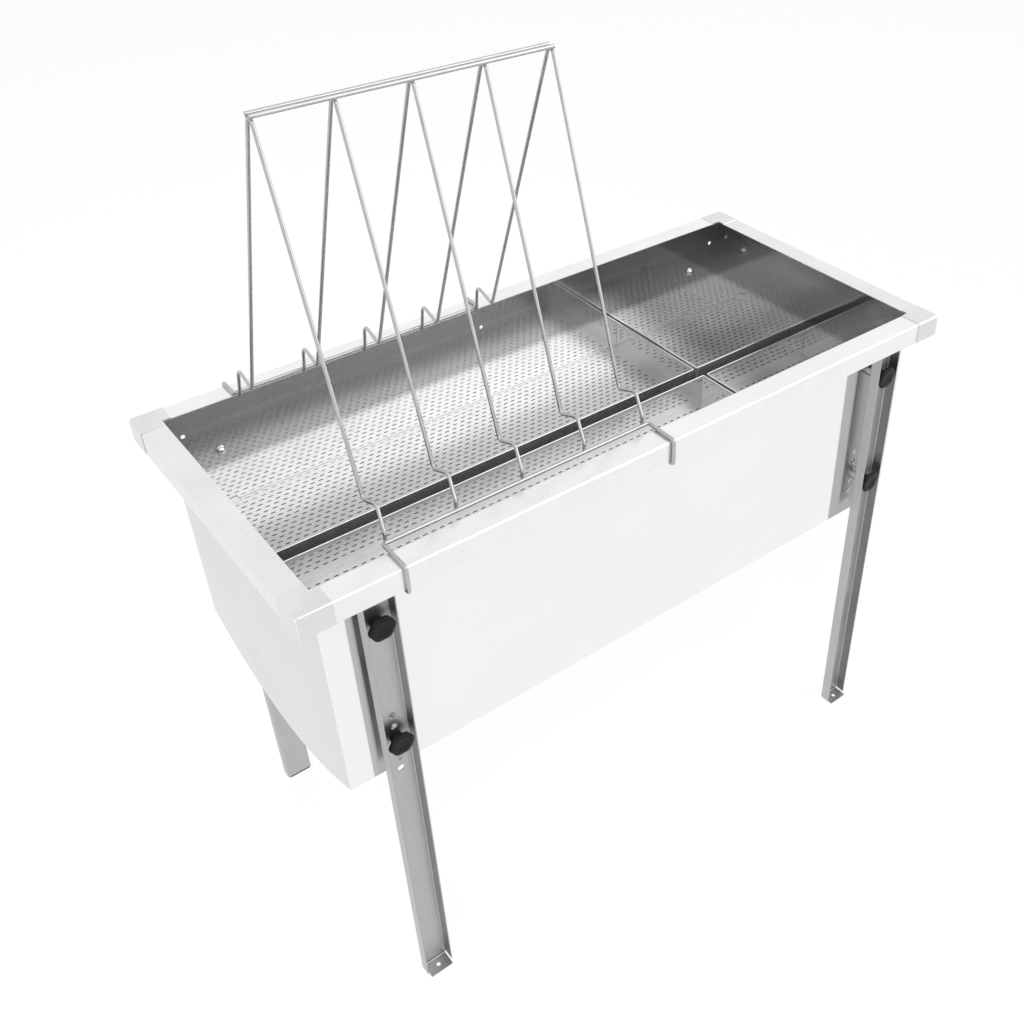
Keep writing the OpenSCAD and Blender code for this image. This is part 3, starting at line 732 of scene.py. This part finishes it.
@dataclass
class LegSet:
    """The four channel legs with their holes and foot tabs, the wall inserts and the spacers."""

    sizes: TankSizes
    paint: Paint
    width: float = 0.040
    depth: float = 0.0175
    thick: float = 0.0015
    standoff: float = 0.0105
    fold_r: float = 0.0032
    fold_steps: int = 7
    top_play: float = 0.0017
    foot_z: float = 0.003
    hole_r: float = 0.0045
    hole_sides: int = 24
    pitch: float = 0.0187
    tip_break: float = 0.0004
    foot_w: float = 0.034
    foot_l: float = 0.022
    foot_bend_r: float = 0.002
    foot_lift: float = 0.0002
    foot_hole_r: float = 0.003
    hole_steps: tuple[int, ...] = (-3, -2, -1, 0, 1, 2)
    height_decimals: int = 6
    barrel_r: float = 0.0059
    dome_size: tuple[float, float] = (0.0062, 0.0053)
    dome_seat: float = 0.0011
    dome_from_deg: float = 4.0
    dome_steps: int = 10
    dome_sides: int = 32
    washer: tuple[tuple[float, float], ...] = (
        (0.0068, 0.0), (0.0070, 0.0003), (0.0070, 0.0007), (0.0066, 0.0010))

    def build(self) -> None:
        """Makes the legs, then the dome inserts, and dresses the spacers."""
        for corner in CORNERS:
            self._leg(corner)
        self._domes()
        dress(LEG_SATIN, self.paint, "leg_spacers")

    @property
    def flat(self) -> float:
        """Half the width of the web between its folds."""
        return self.width / 2 - self.fold_r

    def hole_heights(self) -> np.ndarray:
        """Heights of a leg's holes: a row of steps about the lower knob, then the upper knob's."""
        knobs = self.sizes.knob_heights
        return np.append(knobs["lower"] + self.pitch * np.array(self.hole_steps), knobs["upper"])

    def _place(self, corner: Corner, across: np.ndarray | float, outward: np.ndarray | float,
               height: np.ndarray | float) -> np.ndarray:
        """Turns a leg's own coordinates into the row frame.

        Args:
            corner: the leg's corner.
            across: distance along X from the middle of the web.
            outward: distance from the web's back, away from the tank.
            height: height above the floor.

        Returns:
            Points of shape (..., 3).
        """
        y = corner.side.value * (self.sizes.half_w + self.standoff + outward)
        return stacked(corner.end.value * self.sizes.leg_x + across, y, height)

    def _flange(self, sign: float) -> np.ndarray:
        """Open outline of one flange from the web's back to its front: outer fold, tip and inner fold.

        Args:
            sign: side of the web, as the sign of X.

        Returns:
            Array of shape (n, 2), across and outward.
        """
        a, t, r = self.flat, self.thick, self.fold_r
        outer = arc((-a, r), r, 270.0, 180.0, self.fold_steps)
        inner = arc((-a, r), r - t, 180.0, 270.0, self.fold_steps)
        high, low = self.depth, self.depth - self.tip_break
        face = -a - r
        tip = np.array([[face, low], [face + self.tip_break, high],
                        [face + t - self.tip_break, high], [face + t, low]])
        return np.concatenate([outer, tip, inner]) * (-sign, 1.0)

    def _leg(self, corner: Corner) -> None:
        """Builds a leg: two flanges carried up Z, the web's two faces cut by round holes, and the foot tab.

        Args:
            corner: the leg's corner.
        """
        shell = Shell()
        ends = (self.foot_z, self.sizes.rim_z - self.top_play)
        holes = self.hole_heights()
        half = self.pitch / 2
        heights = np.concatenate([ends, holes - half, holes + half])
        stations = np.unique(np.round(heights, self.height_decimals))
        a, t = self.flat, self.thick
        lines = [self._flange(sign) for sign in (-1.0, 1.0)]
        for line in lines:
            shell.add_loft(self._place(corner, *line.T, stations[:, None]), open_profile=True)
        lines.append(np.array([[-a, 0.0], [a, 0.0], [a, t], [-a, t]]))
        for line, z in itertools.product(lines, ends):
            shell.add(self._place(corner, *line.T, z), np.arange(len(line))[None])

        def web(p: np.ndarray, level: float) -> np.ndarray:
            """Turns (across, height) and a level into the row frame."""
            return self._place(corner, p[:, 0], level * t, p[:, 1])

        for low, high in zip(stations[:-1], stations[1:]):
            middle = (low + high) / 2
            radius = self.hole_r if np.isclose(holes, middle, atol=WELD_DISTANCE).any() else 0.0
            cell = np.array([[-a, low], [a, low], [a, high], [-a, high]])
            self._pierced(shell, cell, (0.0, middle), radius, web)
        self._foot(shell, corner)
        name = f"leg_{corner.words}"
        shell.finish(f"{name}_channel", "tank", LEG_SATIN, self.paint, (name,))

    def _pierced(self, shell: Shell, corners: np.ndarray, centre: tuple[float, float], radius: float,
                 place: Callable[[np.ndarray, float], np.ndarray]) -> None:
        """Adds a flat plate's two faces, and the wall of a round hole through it.

        Each face is four panels, from one side of the plate to the quarter of the hole's rim that faces it.

        Args:
            shell: the shell to add to.
            corners: the plate's corners, anticlockwise, shape (4, 2).
            centre: the hole's centre.
            radius: the hole's radius, or 0 for a plain plate.
            place: function from flat points and a level, 0 or 1, to the row frame.
        """
        if radius <= 0.0:
            for level in (0.0, 1.0):
                shell.add(place(corners, level), np.arange(4)[None])
            return
        n = self.hole_sides
        rim = arc(centre, radius, -135.0, 225.0, n + 1)[:-1]
        quarter = n // 4
        for level in (0.0, 1.0):
            flat = np.concatenate([corners, rim])
            for k in range(4):
                run = 4 + (k * quarter + np.arange(quarter, -1, -1)) % n
                shell.add(place(flat, level), np.concatenate([[k, (k + 1) % 4], run])[None])
        shell.add(np.concatenate([place(rim, 0.0), place(rim, 1.0)]), grid_quads(2, n, False, True))

    def _foot(self, shell: Shell, corner: Corner) -> None:
        """Adds the foot: the web's lower end, and the tab with its screw hole bent out from it.

        Args:
            shell: the leg's shell.
            corner: the leg's corner.
        """
        t, w, r, lift = self.thick, self.foot_w / 2, self.foot_bend_r, self.foot_lift
        out = t + self.foot_l

        def tab(p: np.ndarray, level: float) -> np.ndarray:
            """Turns (across, outward) and a level into the row frame."""
            return self._place(corner, *p.T, level * t)

        corners = np.array([[-w, t], [w, t], [w, out], [-w, out]])
        self._pierced(shell, corners, (0.0, t + self.foot_l / 2), self.foot_hole_r, tab)
        rim = np.concatenate([tab(corners, 0.0), tab(corners, 1.0)])
        shell.add(rim, grid_quads(2, len(corners), False, True))
        bend = arc((t + r, t + r), r, 180.0, 270.0, self.fold_steps - 1)
        top = self.foot_z + r
        line = np.concatenate([[[0.0, top], [t, top]], bend, [[t + r, lift], [t, lift], [0.0, t]]])
        shell.add_loft(self._place(corner, np.array([[-w], [w]]), *line.T))

    def _domes(self) -> None:
        """Turns the eight inserts: a barrel through the wall, a washer and a round dome inside the tank."""
        s = self.sizes
        shell = Shell()
        dome = arc((0.0, 0.0), 1.0, self.dome_from_deg, 90.0, self.dome_steps) * self.dome_size
        dome += (0.0, self.dome_seat)
        outer = EDGE_BREAK - s.sheet - self.standoff
        barrel = [[0.0, outer], [self.barrel_r, outer], [self.barrel_r, 0.0]]
        profile = np.concatenate([barrel, self.washer, dome])
        for corner, z in itertools.product(CORNERS, s.knob_heights.values()):
            shell.add_lathe(profile, s.axis_frame(corner, s.inner_y, z, 1.0), self.dome_sides)
        shell.finish("wall_dome_inserts", "tank", DOME_BRIGHT, self.paint, ("dome_inserts",))


@dataclass
class KnobSet:
    """The eight lobed knobs and their studs."""

    sizes: TankSizes
    paint: Paint
    web_y: float = 0.2121
    head_r: float = 0.0169
    edge_r: float = 0.0026
    edge_z: float = 0.0132
    edge_from_deg: float = -60.0
    edge_steps: int = 9
    lobes: int = 6
    lobe_depth: float = 0.085
    lobe_from_r: float = 0.0100
    sides: int = 72
    sharp: float = math.radians(55.0)
    neck: tuple[tuple[float, float], ...] = (
        (0.0, 0.0), (0.0078, 0.0), (0.0080, 0.0004), (0.0080, 0.0040), (0.0079, 0.0055), (0.0082, 0.0068),
        (0.0094, 0.0080), (0.0120, 0.0092), (0.0146, 0.0101))
    dish: tuple[tuple[float, float], ...] = (
        (0.0120, 0.0162), (0.0105, 0.0164), (0.0090, 0.0162), (0.0075, 0.0157), (0.0040, 0.0155),
        (0.0, 0.0155))

    def build(self) -> None:
        """Makes the knobs one by one and dresses their studs."""
        for corner, (level, z) in itertools.product(CORNERS, self.sizes.knob_heights.items()):
            spot = f"{corner.letters}_{level}"
            self._knob(f"knob_{spot}", self.sizes.axis_frame(corner, self.web_y, z, -1.0))
            dress(WIRE_BRIGHT, self.paint, f"stud_{spot}")

    def _knob(self, name: str, place: Matrix) -> None:
        """Turns a knob: a collar on the leg, a waisted neck, a flared lobed head and a dished top.

        Args:
            name: the knob's node, which is its body too.
            place: the frame of its axis.
        """
        r = self.head_r
        edge = arc((r - self.edge_r, self.edge_z), self.edge_r, self.edge_from_deg, 90.0, self.edge_steps)
        profile = np.concatenate([self.neck, edge, self.dish])
        outward = (profile[:, 0] - self.lobe_from_r) / (r - self.lobe_from_r)
        depth = np.clip(outward, 0.0, 1.0) * self.lobe_depth
        shell = Shell()
        shell.add_lathe(profile, place, self.sides, self.lobes, depth)
        shell.finish(f"{name}_moulded", name, KNOB_MOULDED, self.paint, (name,), self.sharp)


@dataclass(frozen=True)
class BasketPlace:
    """Where a basket lies: its corner of the tank, the X of its own corner, its length and its cut-out."""

    corner: Corner
    corner_x: float
    length: float
    insert_u: float


@dataclass
class BasketSet:
    """The four sieve baskets: slotted floors with a hemmed wall along two sides.

    A basket is built in its own frame: u runs from its corner along the tank, and v from the middle to the
    tank's wall.
    """

    sizes: TankSizes
    paint: Paint
    depth: float = 0.154
    wall_h: float = 0.044
    sheet: float = 0.001
    hem_h: float = 0.006
    hem_slant: float = 0.0004
    corner_r: float = 0.003
    bend_steps: int = 7
    pitch: float = 0.0128
    row_pitch: float = 0.00882
    slot_l: float = 0.0072
    slot_w: float = 0.0019
    slot_round: float = 0.7
    margin: float = 0.011
    rim: float = 0.0008
    near: float = 0.010
    width: float = 0.1884
    notch_w: float = 0.017
    notch_v: float = 0.1808
    splits: dict[End, tuple[float, float]] = field(
        default_factory=lambda: {End.LEFT: (0.2535, 0.7219), End.RIGHT: (0.2585, 0.2099)})

    def build(self) -> None:
        """Makes the four baskets, each of a slotted floor and two walls."""
        for corner in CORNERS:
            corner_x, length = self.splits[corner.end]
            insert_u = self.sizes.leg_x - corner.end.value * corner_x
            place = BasketPlace(corner, corner_x, length, insert_u)
            name = f"basket_{corner.words}"
            floor, walls = Shell(), Shell()
            self._floor(floor, place)
            floor.finish(f"{name}_sieve", name, SIEVE_BRIGHT, self.paint, (name,))
            self._walls(walls, place)
            walls.finish(f"{name}_walls", name, SIEVE_WALL, self.paint)

    def _put(self, place: BasketPlace, flat: np.ndarray, height: np.ndarray | float) -> np.ndarray:
        """Turns (u, v) and a height into the row frame.

        Args:
            place: the basket's place.
            flat: points of shape (..., 2).
            height: Z of the points.

        Returns:
            Points of shape (..., 3).
        """
        x = place.corner_x + place.corner.end.value * flat[..., 0]
        y = place.corner.side.value * (self.near + flat[..., 1])
        return stacked(x, y, height)

    @property
    def levels(self) -> tuple[float, float]:
        """Heights of a floor's top and underside."""
        high = self.sizes.rim_z - self.depth
        return high, high - self.sheet

    def _both_faces(self, shell: Shell, place: BasketPlace, flat: np.ndarray, faces: np.ndarray) -> None:
        """Adds the same faces to a floor's top and underside."""
        for level in self.levels:
            shell.add(self._put(place, flat, level), faces)

    def _floor(self, shell: Shell, place: BasketPlace) -> None:
        """Adds the floor: staggered slots, each in its own cell, inside a plain border with a cut-out.

        Rows of slots are one row pitch apart, and every other row is moved by half a pitch. A cell's eight
        outer points lie at the half pitches and its eight inner points are a slot with cut corners, so that
        neighbours share their edges. The same faces make the top, the underside and the slots' walls.

        Args:
            shell: the basket's shell.
            place: the basket's place.
        """
        half_u, half_v = self.pitch / 2, self.row_pitch / 2
        columns = int((place.length - self.margin - self.rim) / self.pitch)
        rows = int((self.width - self.margin - self.rim) / self.row_pitch)
        first_u = place.length - self.rim - columns * self.pitch
        first_v = self.width - self.rim - rows * self.row_pitch
        i, j = np.meshgrid(np.arange(columns), np.arange(rows), indexing="ij")
        odd = j % 2 == 1
        mid_u = first_u + half_u + i * self.pitch + odd * half_u
        mid_v = first_v + half_v + j * self.row_pitch
        cut = (j == rows - 1) & (np.abs(mid_u - place.insert_u) < self.notch_w / 2 + half_u)
        keep = ~(odd & (i == columns - 1)) & ~cut
        centres = stacked(mid_u[keep], mid_v[keep])[:, None]
        square = np.array([[1, 0], [1, 1], [0, 1], [-1, 1], [-1, 0], [-1, -1], [0, -1], [1, -1]])
        outer = square * (half_u, half_v)
        tip, half_w = self.slot_l / 2, self.slot_w / 2
        inner = square * stacked(np.where(square[:, 1] == 0, tip, tip - self.slot_round * half_w), half_w)
        ring = grid_quads(2, len(inner), wrap_columns=True)
        cells = ((2 * len(inner) * np.arange(len(centres)))[:, None, None] + ring).reshape(-1, 4)
        flat = centres + np.concatenate([outer, inner])
        self._both_faces(shell, place, flat.reshape(-1, 2), cells)
        walls = np.concatenate([self._put(place, centres + inner, level) for level in self.levels], axis=1)
        shell.add(walls.reshape(-1, 3), cells)
        odd_v = mid_v[0, 1::2]
        self._half_cells(shell, place, first_u, odd_v)
        self._half_cells(shell, place, first_u + columns * self.pitch - half_u, odd_v)
        inset = self.sheet / 2
        lines_u = np.concatenate([[inset], first_u + half_u * np.arange(2 * columns + 1), [place.length]])
        lines_v = np.concatenate([[inset], first_v + half_v * np.arange(2 * rows + 1), [self.width]])
        touched = mid_u[cut].min() - half_u / 2, mid_u[cut].max() + half_u / 2
        first, last = np.searchsorted(lines_u, touched)
        self._border(shell, place, lines_u, lines_v, (int(first) - 1, int(last)))

    def _half_cells(self, shell: Shell, place: BasketPlace, u: float, middles: np.ndarray) -> None:
        """Adds the plain half cells that end each moved row of slots.

        Args:
            shell: the basket's shell.
            place: the basket's place.
            u: low end of the half cells.
            middles: v of the rows' middles.
        """
        outline = np.array([[0, -1], [1, -1], [1, 0], [1, 1], [0, 1], [0, 0]])
        cell = outline * (self.pitch / 2, self.row_pitch / 2)
        flat = (stacked(u, middles)[:, None] + cell).reshape(-1, 2)
        self._both_faces(shell, place, flat, np.arange(len(flat)).reshape(-1, len(cell)))

    def _border(self, shell: Shell, place: BasketPlace, lines_u: np.ndarray, lines_v: np.ndarray,
                bay: tuple[int, int]) -> None:
        """Adds the plain border, the cut-out in its outer edge and the sheet's edge all round.

        The cells of the last row that the cut-out touches become one face, which follows the cut-out. The
        last four lines along v are that row's start, middle and end, and the outer edge.

        Args:
            shell: the basket's shell.
            place: the basket's place.
            lines_u: the cells' lines along u.
            lines_v: the cells' lines along v.
            bay: first and last line along u of the cells that the cut-out touches.
        """
        m, n = len(lines_u), len(lines_v)
        points = stacked(lines_u[:, None], lines_v).reshape(-1, 2)
        quads = grid_quads(m, n)
        a, b = np.divmod(quads[:, 0], n)
        low, high = place.insert_u - self.notch_w / 2, place.insert_u + self.notch_w / 2
        first, last = bay
        border = (a == 0) | (a == m - 2) | (b == 0) | (b == n - 2)
        border &= ~((b == n - 2) & (a >= first) & (a < last))
        notch = np.array([[low, self.width], [low, self.notch_v], [high, self.notch_v], [high, self.width]])
        row = lines_v[-4:]
        inside = stacked(lines_u[first:last + 1], row[0])
        right = stacked(lines_u[last], row[1:])
        left = stacked(lines_u[first], row[:0:-1])
        face = np.concatenate([inside, right, notch[::-1], left])
        edge = np.concatenate([
            stacked(lines_u[:first + 1], self.width), notch, stacked(lines_u[last:], self.width),
            stacked(lines_u[-1], lines_v[-2::-1]), stacked(lines_u[-2::-1], lines_v[0]),
            stacked(lines_u[0], lines_v[1:-1])])
        self._both_faces(shell, place, points, quads[border])
        self._both_faces(shell, place, face, np.arange(len(face))[None])
        shell.add(np.concatenate([self._put(place, edge, level) for level in self.levels]),
                  grid_quads(2, len(edge), False, True))

    def _walls(self, shell: Shell, place: BasketPlace) -> None:
        """Carries the wall's outline round the corner: outer face, round hem, lip and inner face.

        Args:
            shell: the basket's shell.
            place: the basket's place.
        """
        t = self.sheet
        high, low = self.levels
        top = high + self.wall_h
        lip = top - self.hem_h
        hem = arc((t, top - t), t, 180.0, 0.0, self.bend_steps)
        line = np.concatenate([[[t, low], [EDGE_BREAK, low], [0.0, low + EDGE_BREAK]], hem,
                               [[2 * t, lip], [t, lip - self.hem_slant], [t, high]]])
        plan = round_corner(line[:, 0], self.corner_r, (place.length, self.width), self.bend_steps)
        shell.add_loft(self._put(place, plan, line[:, 1]))


@dataclass
class FrameRack:
    """The wire rack: two top rods, five ribs, two hooked rails and their welds."""

    sizes: TankSizes
    paint: Paint
    first_foot_x: float = -0.368
    rib_count: int = 5
    rib_spacing: float = 0.090
    height: float = 0.424
    rod_r: float = 0.0025
    rib_r: float = 0.00225
    rod_gap: float = 0.0095
    bend_r: float = 0.006
    hook_bend_r: float = 0.0037
    front_rail_inset: float = 0.0155
    back_rail_inset: float = 0.0
    play: float = 0.0005
    ledge_out_z: float = 0.0375
    ledge_in_z: float = 0.025
    front_ledge_l: float = 0.0325
    back_ledge_l: float = 0.037
    foot_slant: float = 0.019
    foot_lean: float = 0.0045
    top_lean: float = 0.004
    hook_l: float = 0.006
    hook_tip: float = 0.013
    rod_end: float = 0.002
    foot_straight: float = 0.010
    weld_play: float = 0.00002
    rod_bead: tuple[float, float, float] = (0.0032, 0.0016, 0.0014)
    foot_bead: tuple[float, float, float] = (0.0034, 0.0013, 0.0019)
    bead_steps: int = 9
    bead_sides: int = 14

    def __post_init__(self) -> None:
        """Works out the ribs' places, the corners of a rib and the bend at its top, where the rods lie."""
        self.foot_x = self.first_foot_x + self.rib_spacing * np.arange(self.rib_count)
        self.top_x = self.foot_x + self.foot_lean + self.top_lean
        self.rail_z = self.sizes.rim_z + self.play + self.rod_r
        self.off = self.rod_r + self.rib_r + self.weld_play
        rim_z = self.sizes.rim_z
        front = self._rail_y(Side.FRONT) + self.off
        back = self._rail_y(Side.BACK) - self.off
        foot_z = self.rail_z - self.rod_r
        out_z, in_z = rim_z + self.ledge_out_z, rim_z + self.ledge_in_z
        out = front + self.foot_slant
        lean = self.foot_lean
        front_knee, back_knee = (out + self.front_ledge_l, in_z), (back - self.back_ledge_l, in_z)
        top = (0.0, rim_z + self.height)
        self.rib = np.array([
            (0.0, front, foot_z), (0.0, front, self.rail_z + self.foot_straight), (lean, out, out_z),
            (lean, *front_knee), (lean + self.top_lean, *top),
            (lean, *back_knee), (lean, back, out_z), (0.0, back, foot_z)])
        ways = np.array([front_knee, back_knee]) - top
        ways /= np.linalg.norm(ways, axis=1, keepdims=True)
        middle = ways.sum(axis=0) / np.linalg.norm(ways.sum(axis=0))
        self.bend = top + middle * self.bend_r / np.linalg.norm(ways[0] - middle * (ways[0] @ middle))

    def build(self) -> None:
        """Makes the rods, the ribs and the rails."""
        self._ribs()
        for side in Side:
            self._rod(side)
            self._rail(side)

    def _rail_y(self, side: Side) -> float:
        """Place of a rail across the tank."""
        inset = self.front_rail_inset if side is Side.FRONT else self.back_rail_inset
        return side.value * (self.sizes.half_w - inset)

    def _rod(self, side: Side) -> None:
        """Makes a top rod, and a weld bead at each rib.

        Args:
            side: the rod's side.
        """
        shoulder = self.bend_r + self.off
        way = np.array([side.value * self.rod_gap / 2, np.sqrt(shoulder ** 2 - self.rod_gap ** 2 / 4)])
        y, z = self.bend + way
        weld_y, weld_z = self.bend + way * (self.bend_r + self.rib_r) / shoulder
        ends = self.top_x[[0, -1]] + (-self.rod_end, self.rod_end)
        shell = Shell()
        shell.add_tube(stacked(ends, y, z), self.rod_r)
        for rib in self.top_x:
            self._bead(shell, (rib, weld_y, weld_z), self.rod_bead)
        name = f"rack_{side.name.lower()}_rod"
        shell.finish(f"{name}_drawn", "rack", WIRE_BRIGHT, self.paint, (name,))

    def _bead(self, shell: Shell, centre: tuple[float, float, float],
              radii: tuple[float, float, float]) -> None:
        """Adds a weld bead: an ellipsoid of the given radii.

        Args:
            shell: the shell to add to.
            centre: the bead's middle.
            radii: half its size along X, Y and Z.
        """
        half = arc((0.0, 0.0), 1.0, -90.0, 90.0, self.bead_steps)
        half[0, 0] = half[-1, 0] = 0.0
        place = Matrix.Translation(centre) @ Matrix.Diagonal((*radii, 1.0))
        shell.add_lathe(half, place, self.bead_sides)

    def _ribs(self) -> None:
        """Makes the ribs: each goes from the front rail over a ledge and the top to the back rail."""
        shell = Shell()
        for x in self.foot_x:
            shell.add_tube(filleted(self.rib + (x, 0.0, 0.0), self.bend_r), self.rib_r)
            for side in Side:
                y = self._rail_y(side) - side.value * self.rod_r
                self._bead(shell, (x, y, self.rail_z), self.foot_bead)
        shell.finish("rack_ribs_bent", "rack", WIRE_BRIGHT, self.paint, ("rack_ribs",))

    def _rail(self, side: Side) -> None:
        """Makes a rail: along the tank's side, with both ends hooked over the rim and under its skirt.

        Args:
            side: the rail's side.
        """
        s = self.sizes
        y = self._rail_y(side)
        out = side.value * (s.rim_y + self.play + self.rod_r)
        tip = out - side.value * self.hook_tip
        low = s.rim_z - s.skirt_h - self.play - self.rod_r
        left, right = self.foot_x[0] - self.hook_l, self.foot_x[-1] + self.hook_l
        z = self.rail_z
        route = np.array([[left, tip, low], [left, out, low], [left, out, z], [left, y, z], [right, y, z],
                          [right, out, z], [right, out, low], [right, tip, low]])
        shell = Shell()
        shell.add_tube(filleted(route, self.hook_bend_r), self.rod_r)
        name = f"rack_{side.name.lower()}_rail"
        shell.finish(f"{name}_bent", "rack", WIRE_BRIGHT, self.paint, (name,))


@dataclass
class HoneyGate:
    """The outlet with its swinging blade, low on the right end."""

    paint: Paint

    def build(self) -> None:
        """Dresses the gate's CAD pieces."""
        dress(SIEVE_BRIGHT, self.paint, "outlet_spigot")
        dress(SEAL_RUBBER, self.paint, "gate_seal")
        dress(LEG_SATIN, self.paint, "gate_blade")
        dress(WIRE_BRIGHT, self.paint, "gate_pivot_bolt", "gate_wing_nut")


@dataclass(frozen=True)
class SoftBox:
    """A round lamp: its name, place, width in metres, power in watts, and whether it shows in the steel."""

    name: str
    at: tuple[float, float, float]
    width: float
    power: float
    mirrored: bool


@dataclass
class Studio:
    """Floor, background, lamps and camera."""

    camera_at: tuple[float, float, float] = (-0.76986, -1.08562, 1.54052)
    camera_way: tuple[float, float, float] = (0.49956, 0.62467, -0.60019)
    focal_px: float = 1155.21
    centre_px: tuple[float, float] = (618.62, 478.14)
    image_px: float = 1024.0
    sensor_mm: float = 36.0
    clip_start: float = 0.01
    floor_half: float = 30.0
    floor_z: float = -0.0005
    floor_grey: float = 0.9
    floor_rough: float = 0.9
    floor_glow: float = 0.93
    soft_light: float = 0.55
    lamps_aim: tuple[float, float, float] = (0.0, 0.0, 0.55)
    lamps: tuple[SoftBox, ...] = (
        SoftBox("key_box", (-1.6, -1.8, 3.0), 1.8, 90.0, False),
        SoftBox("front_box", (2.2, -2.4, 2.9), 4.6, 62.0, True),
        SoftBox("back_box", (0.4, 2.6, 2.8), 2.0, 40.0, False))

    def build(self) -> None:
        """Shows colours as they are written, and sets up the whole stage."""
        bpy.context.scene.view_settings.view_transform = "Standard"
        self._world()
        self._floor()
        self._lamps()
        self._camera()

    @staticmethod
    def _seen(tree: bpy.types.NodeTree) -> bpy.types.NodeSocket:
        """Adds a value that is 1 for camera, glossy and transmission rays.

        Args:
            tree: nodes of the world or of a material.

        Returns:
            The socket with the value.
        """
        rays = add_node(tree, "ShaderNodeLightPath", {}).outputs
        direct = calculate(tree, "MAXIMUM", rays["Is Camera Ray"], rays["Is Glossy Ray"])
        return calculate(tree, "MAXIMUM", direct, rays["Is Transmission Ray"])

    def _world(self) -> None:
        """Lights the scene softly, and shows white where it is seen."""
        world = bpy.data.worlds.new("studio")
        bpy.context.scene.world = world
        world.use_nodes = True
        tree = world.node_tree
        soft = tree.nodes["Background"]
        soft.inputs["Color"].default_value = WHITE
        soft.inputs["Strength"].default_value = self.soft_light
        white = add_node(tree, "ShaderNodeBackground", {"Color": WHITE, "Strength": 1.0})
        mix = add_node(tree, "ShaderNodeMixShader", {
            "Fac": self._seen(tree), 1: soft.outputs[0], 2: white.outputs[0]})
        tree.links.new(mix.outputs[0], tree.nodes["World Output"].inputs["Surface"])

    def _floor(self) -> None:
        """Makes a wide pale floor that shows white, with a faint shadow of the tank."""
        h, z = self.floor_half, self.floor_z
        mesh = bpy.data.meshes.new("studio_floor")
        mesh.from_pydata([(-h, -h, z), (h, -h, z), (h, h, z), (-h, h, z)], [], [(0, 1, 2, 3)])
        floor = bpy.data.objects.new("studio_floor", mesh)
        bpy.context.scene.collection.objects.link(floor)
        material = bpy.data.materials.new("pale_floor")
        material.use_nodes = True
        tree = material.node_tree
        shader = tree.nodes["Principled BSDF"]
        shader.inputs["Base Color"].default_value = (*[self.floor_grey] * 3, 1.0)
        shader.inputs["Roughness"].default_value = self.floor_rough
        glow = add_node(tree, "ShaderNodeEmission", {"Strength": 1.0})
        share = calculate(tree, "MULTIPLY", self._seen(tree), self.floor_glow)
        mix = add_node(tree, "ShaderNodeMixShader", {"Fac": share, 1: shader.outputs[0], 2: glow.outputs[0]})
        tree.links.new(mix.outputs[0], tree.nodes["Material Output"].inputs["Surface"])
        mesh.materials.append(material)

    def _lamps(self) -> None:
        """Hangs three soft boxes round the tank, of which only the wide front one shows in the steel."""
        for box in self.lamps:
            lamp = bpy.data.lights.new(box.name, "AREA")
            lamp.shape = "DISK"
            lamp.size = box.width
            lamp.energy = box.power
            hung = bpy.data.objects.new(box.name, lamp)
            hung.location = box.at
            hung.visible_glossy = box.mirrored
            way = Vector(self.lamps_aim) - Vector(box.at)
            hung.rotation_euler = way.to_track_quat("-Z", "Y").to_euler()
            bpy.context.scene.collection.objects.link(hung)

    def _camera(self) -> None:
        """Sets the camera as the photograph's was, with its focal length and off-centre frame."""
        data = bpy.data.cameras.new("photo_camera")
        data.sensor_width = self.sensor_mm
        data.lens = self.sensor_mm * self.focal_px / self.image_px
        data.shift_x = (self.image_px / 2 - self.centre_px[0]) / self.image_px
        data.shift_y = (self.centre_px[1] - self.image_px / 2) / self.image_px
        data.clip_start = self.clip_start
        camera = bpy.data.objects.new("photo_camera", data)
        camera.location = self.camera_at
        camera.rotation_euler = Vector(self.camera_way).to_track_quat("-Z", "Y").to_euler()
        bpy.context.scene.collection.objects.link(camera)
        bpy.context.scene.camera = camera


def main() -> None:
    """Builds the sub-assemblies in order, then the stage."""
    logging.basicConfig(level=logging.INFO, format="%(message)s")
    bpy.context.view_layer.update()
    sizes = TankSizes()
    paint = Paint()
    for assembly in (TankShell(sizes, paint), LegSet(sizes, paint), KnobSet(sizes, paint),
                     BasketSet(sizes, paint), FrameRack(sizes, paint), HoneyGate(paint)):
        assembly.build()
        LOG.info("%s built", type(assembly).__name__)
    Studio().build()


if __name__ == "__main__":
    main()
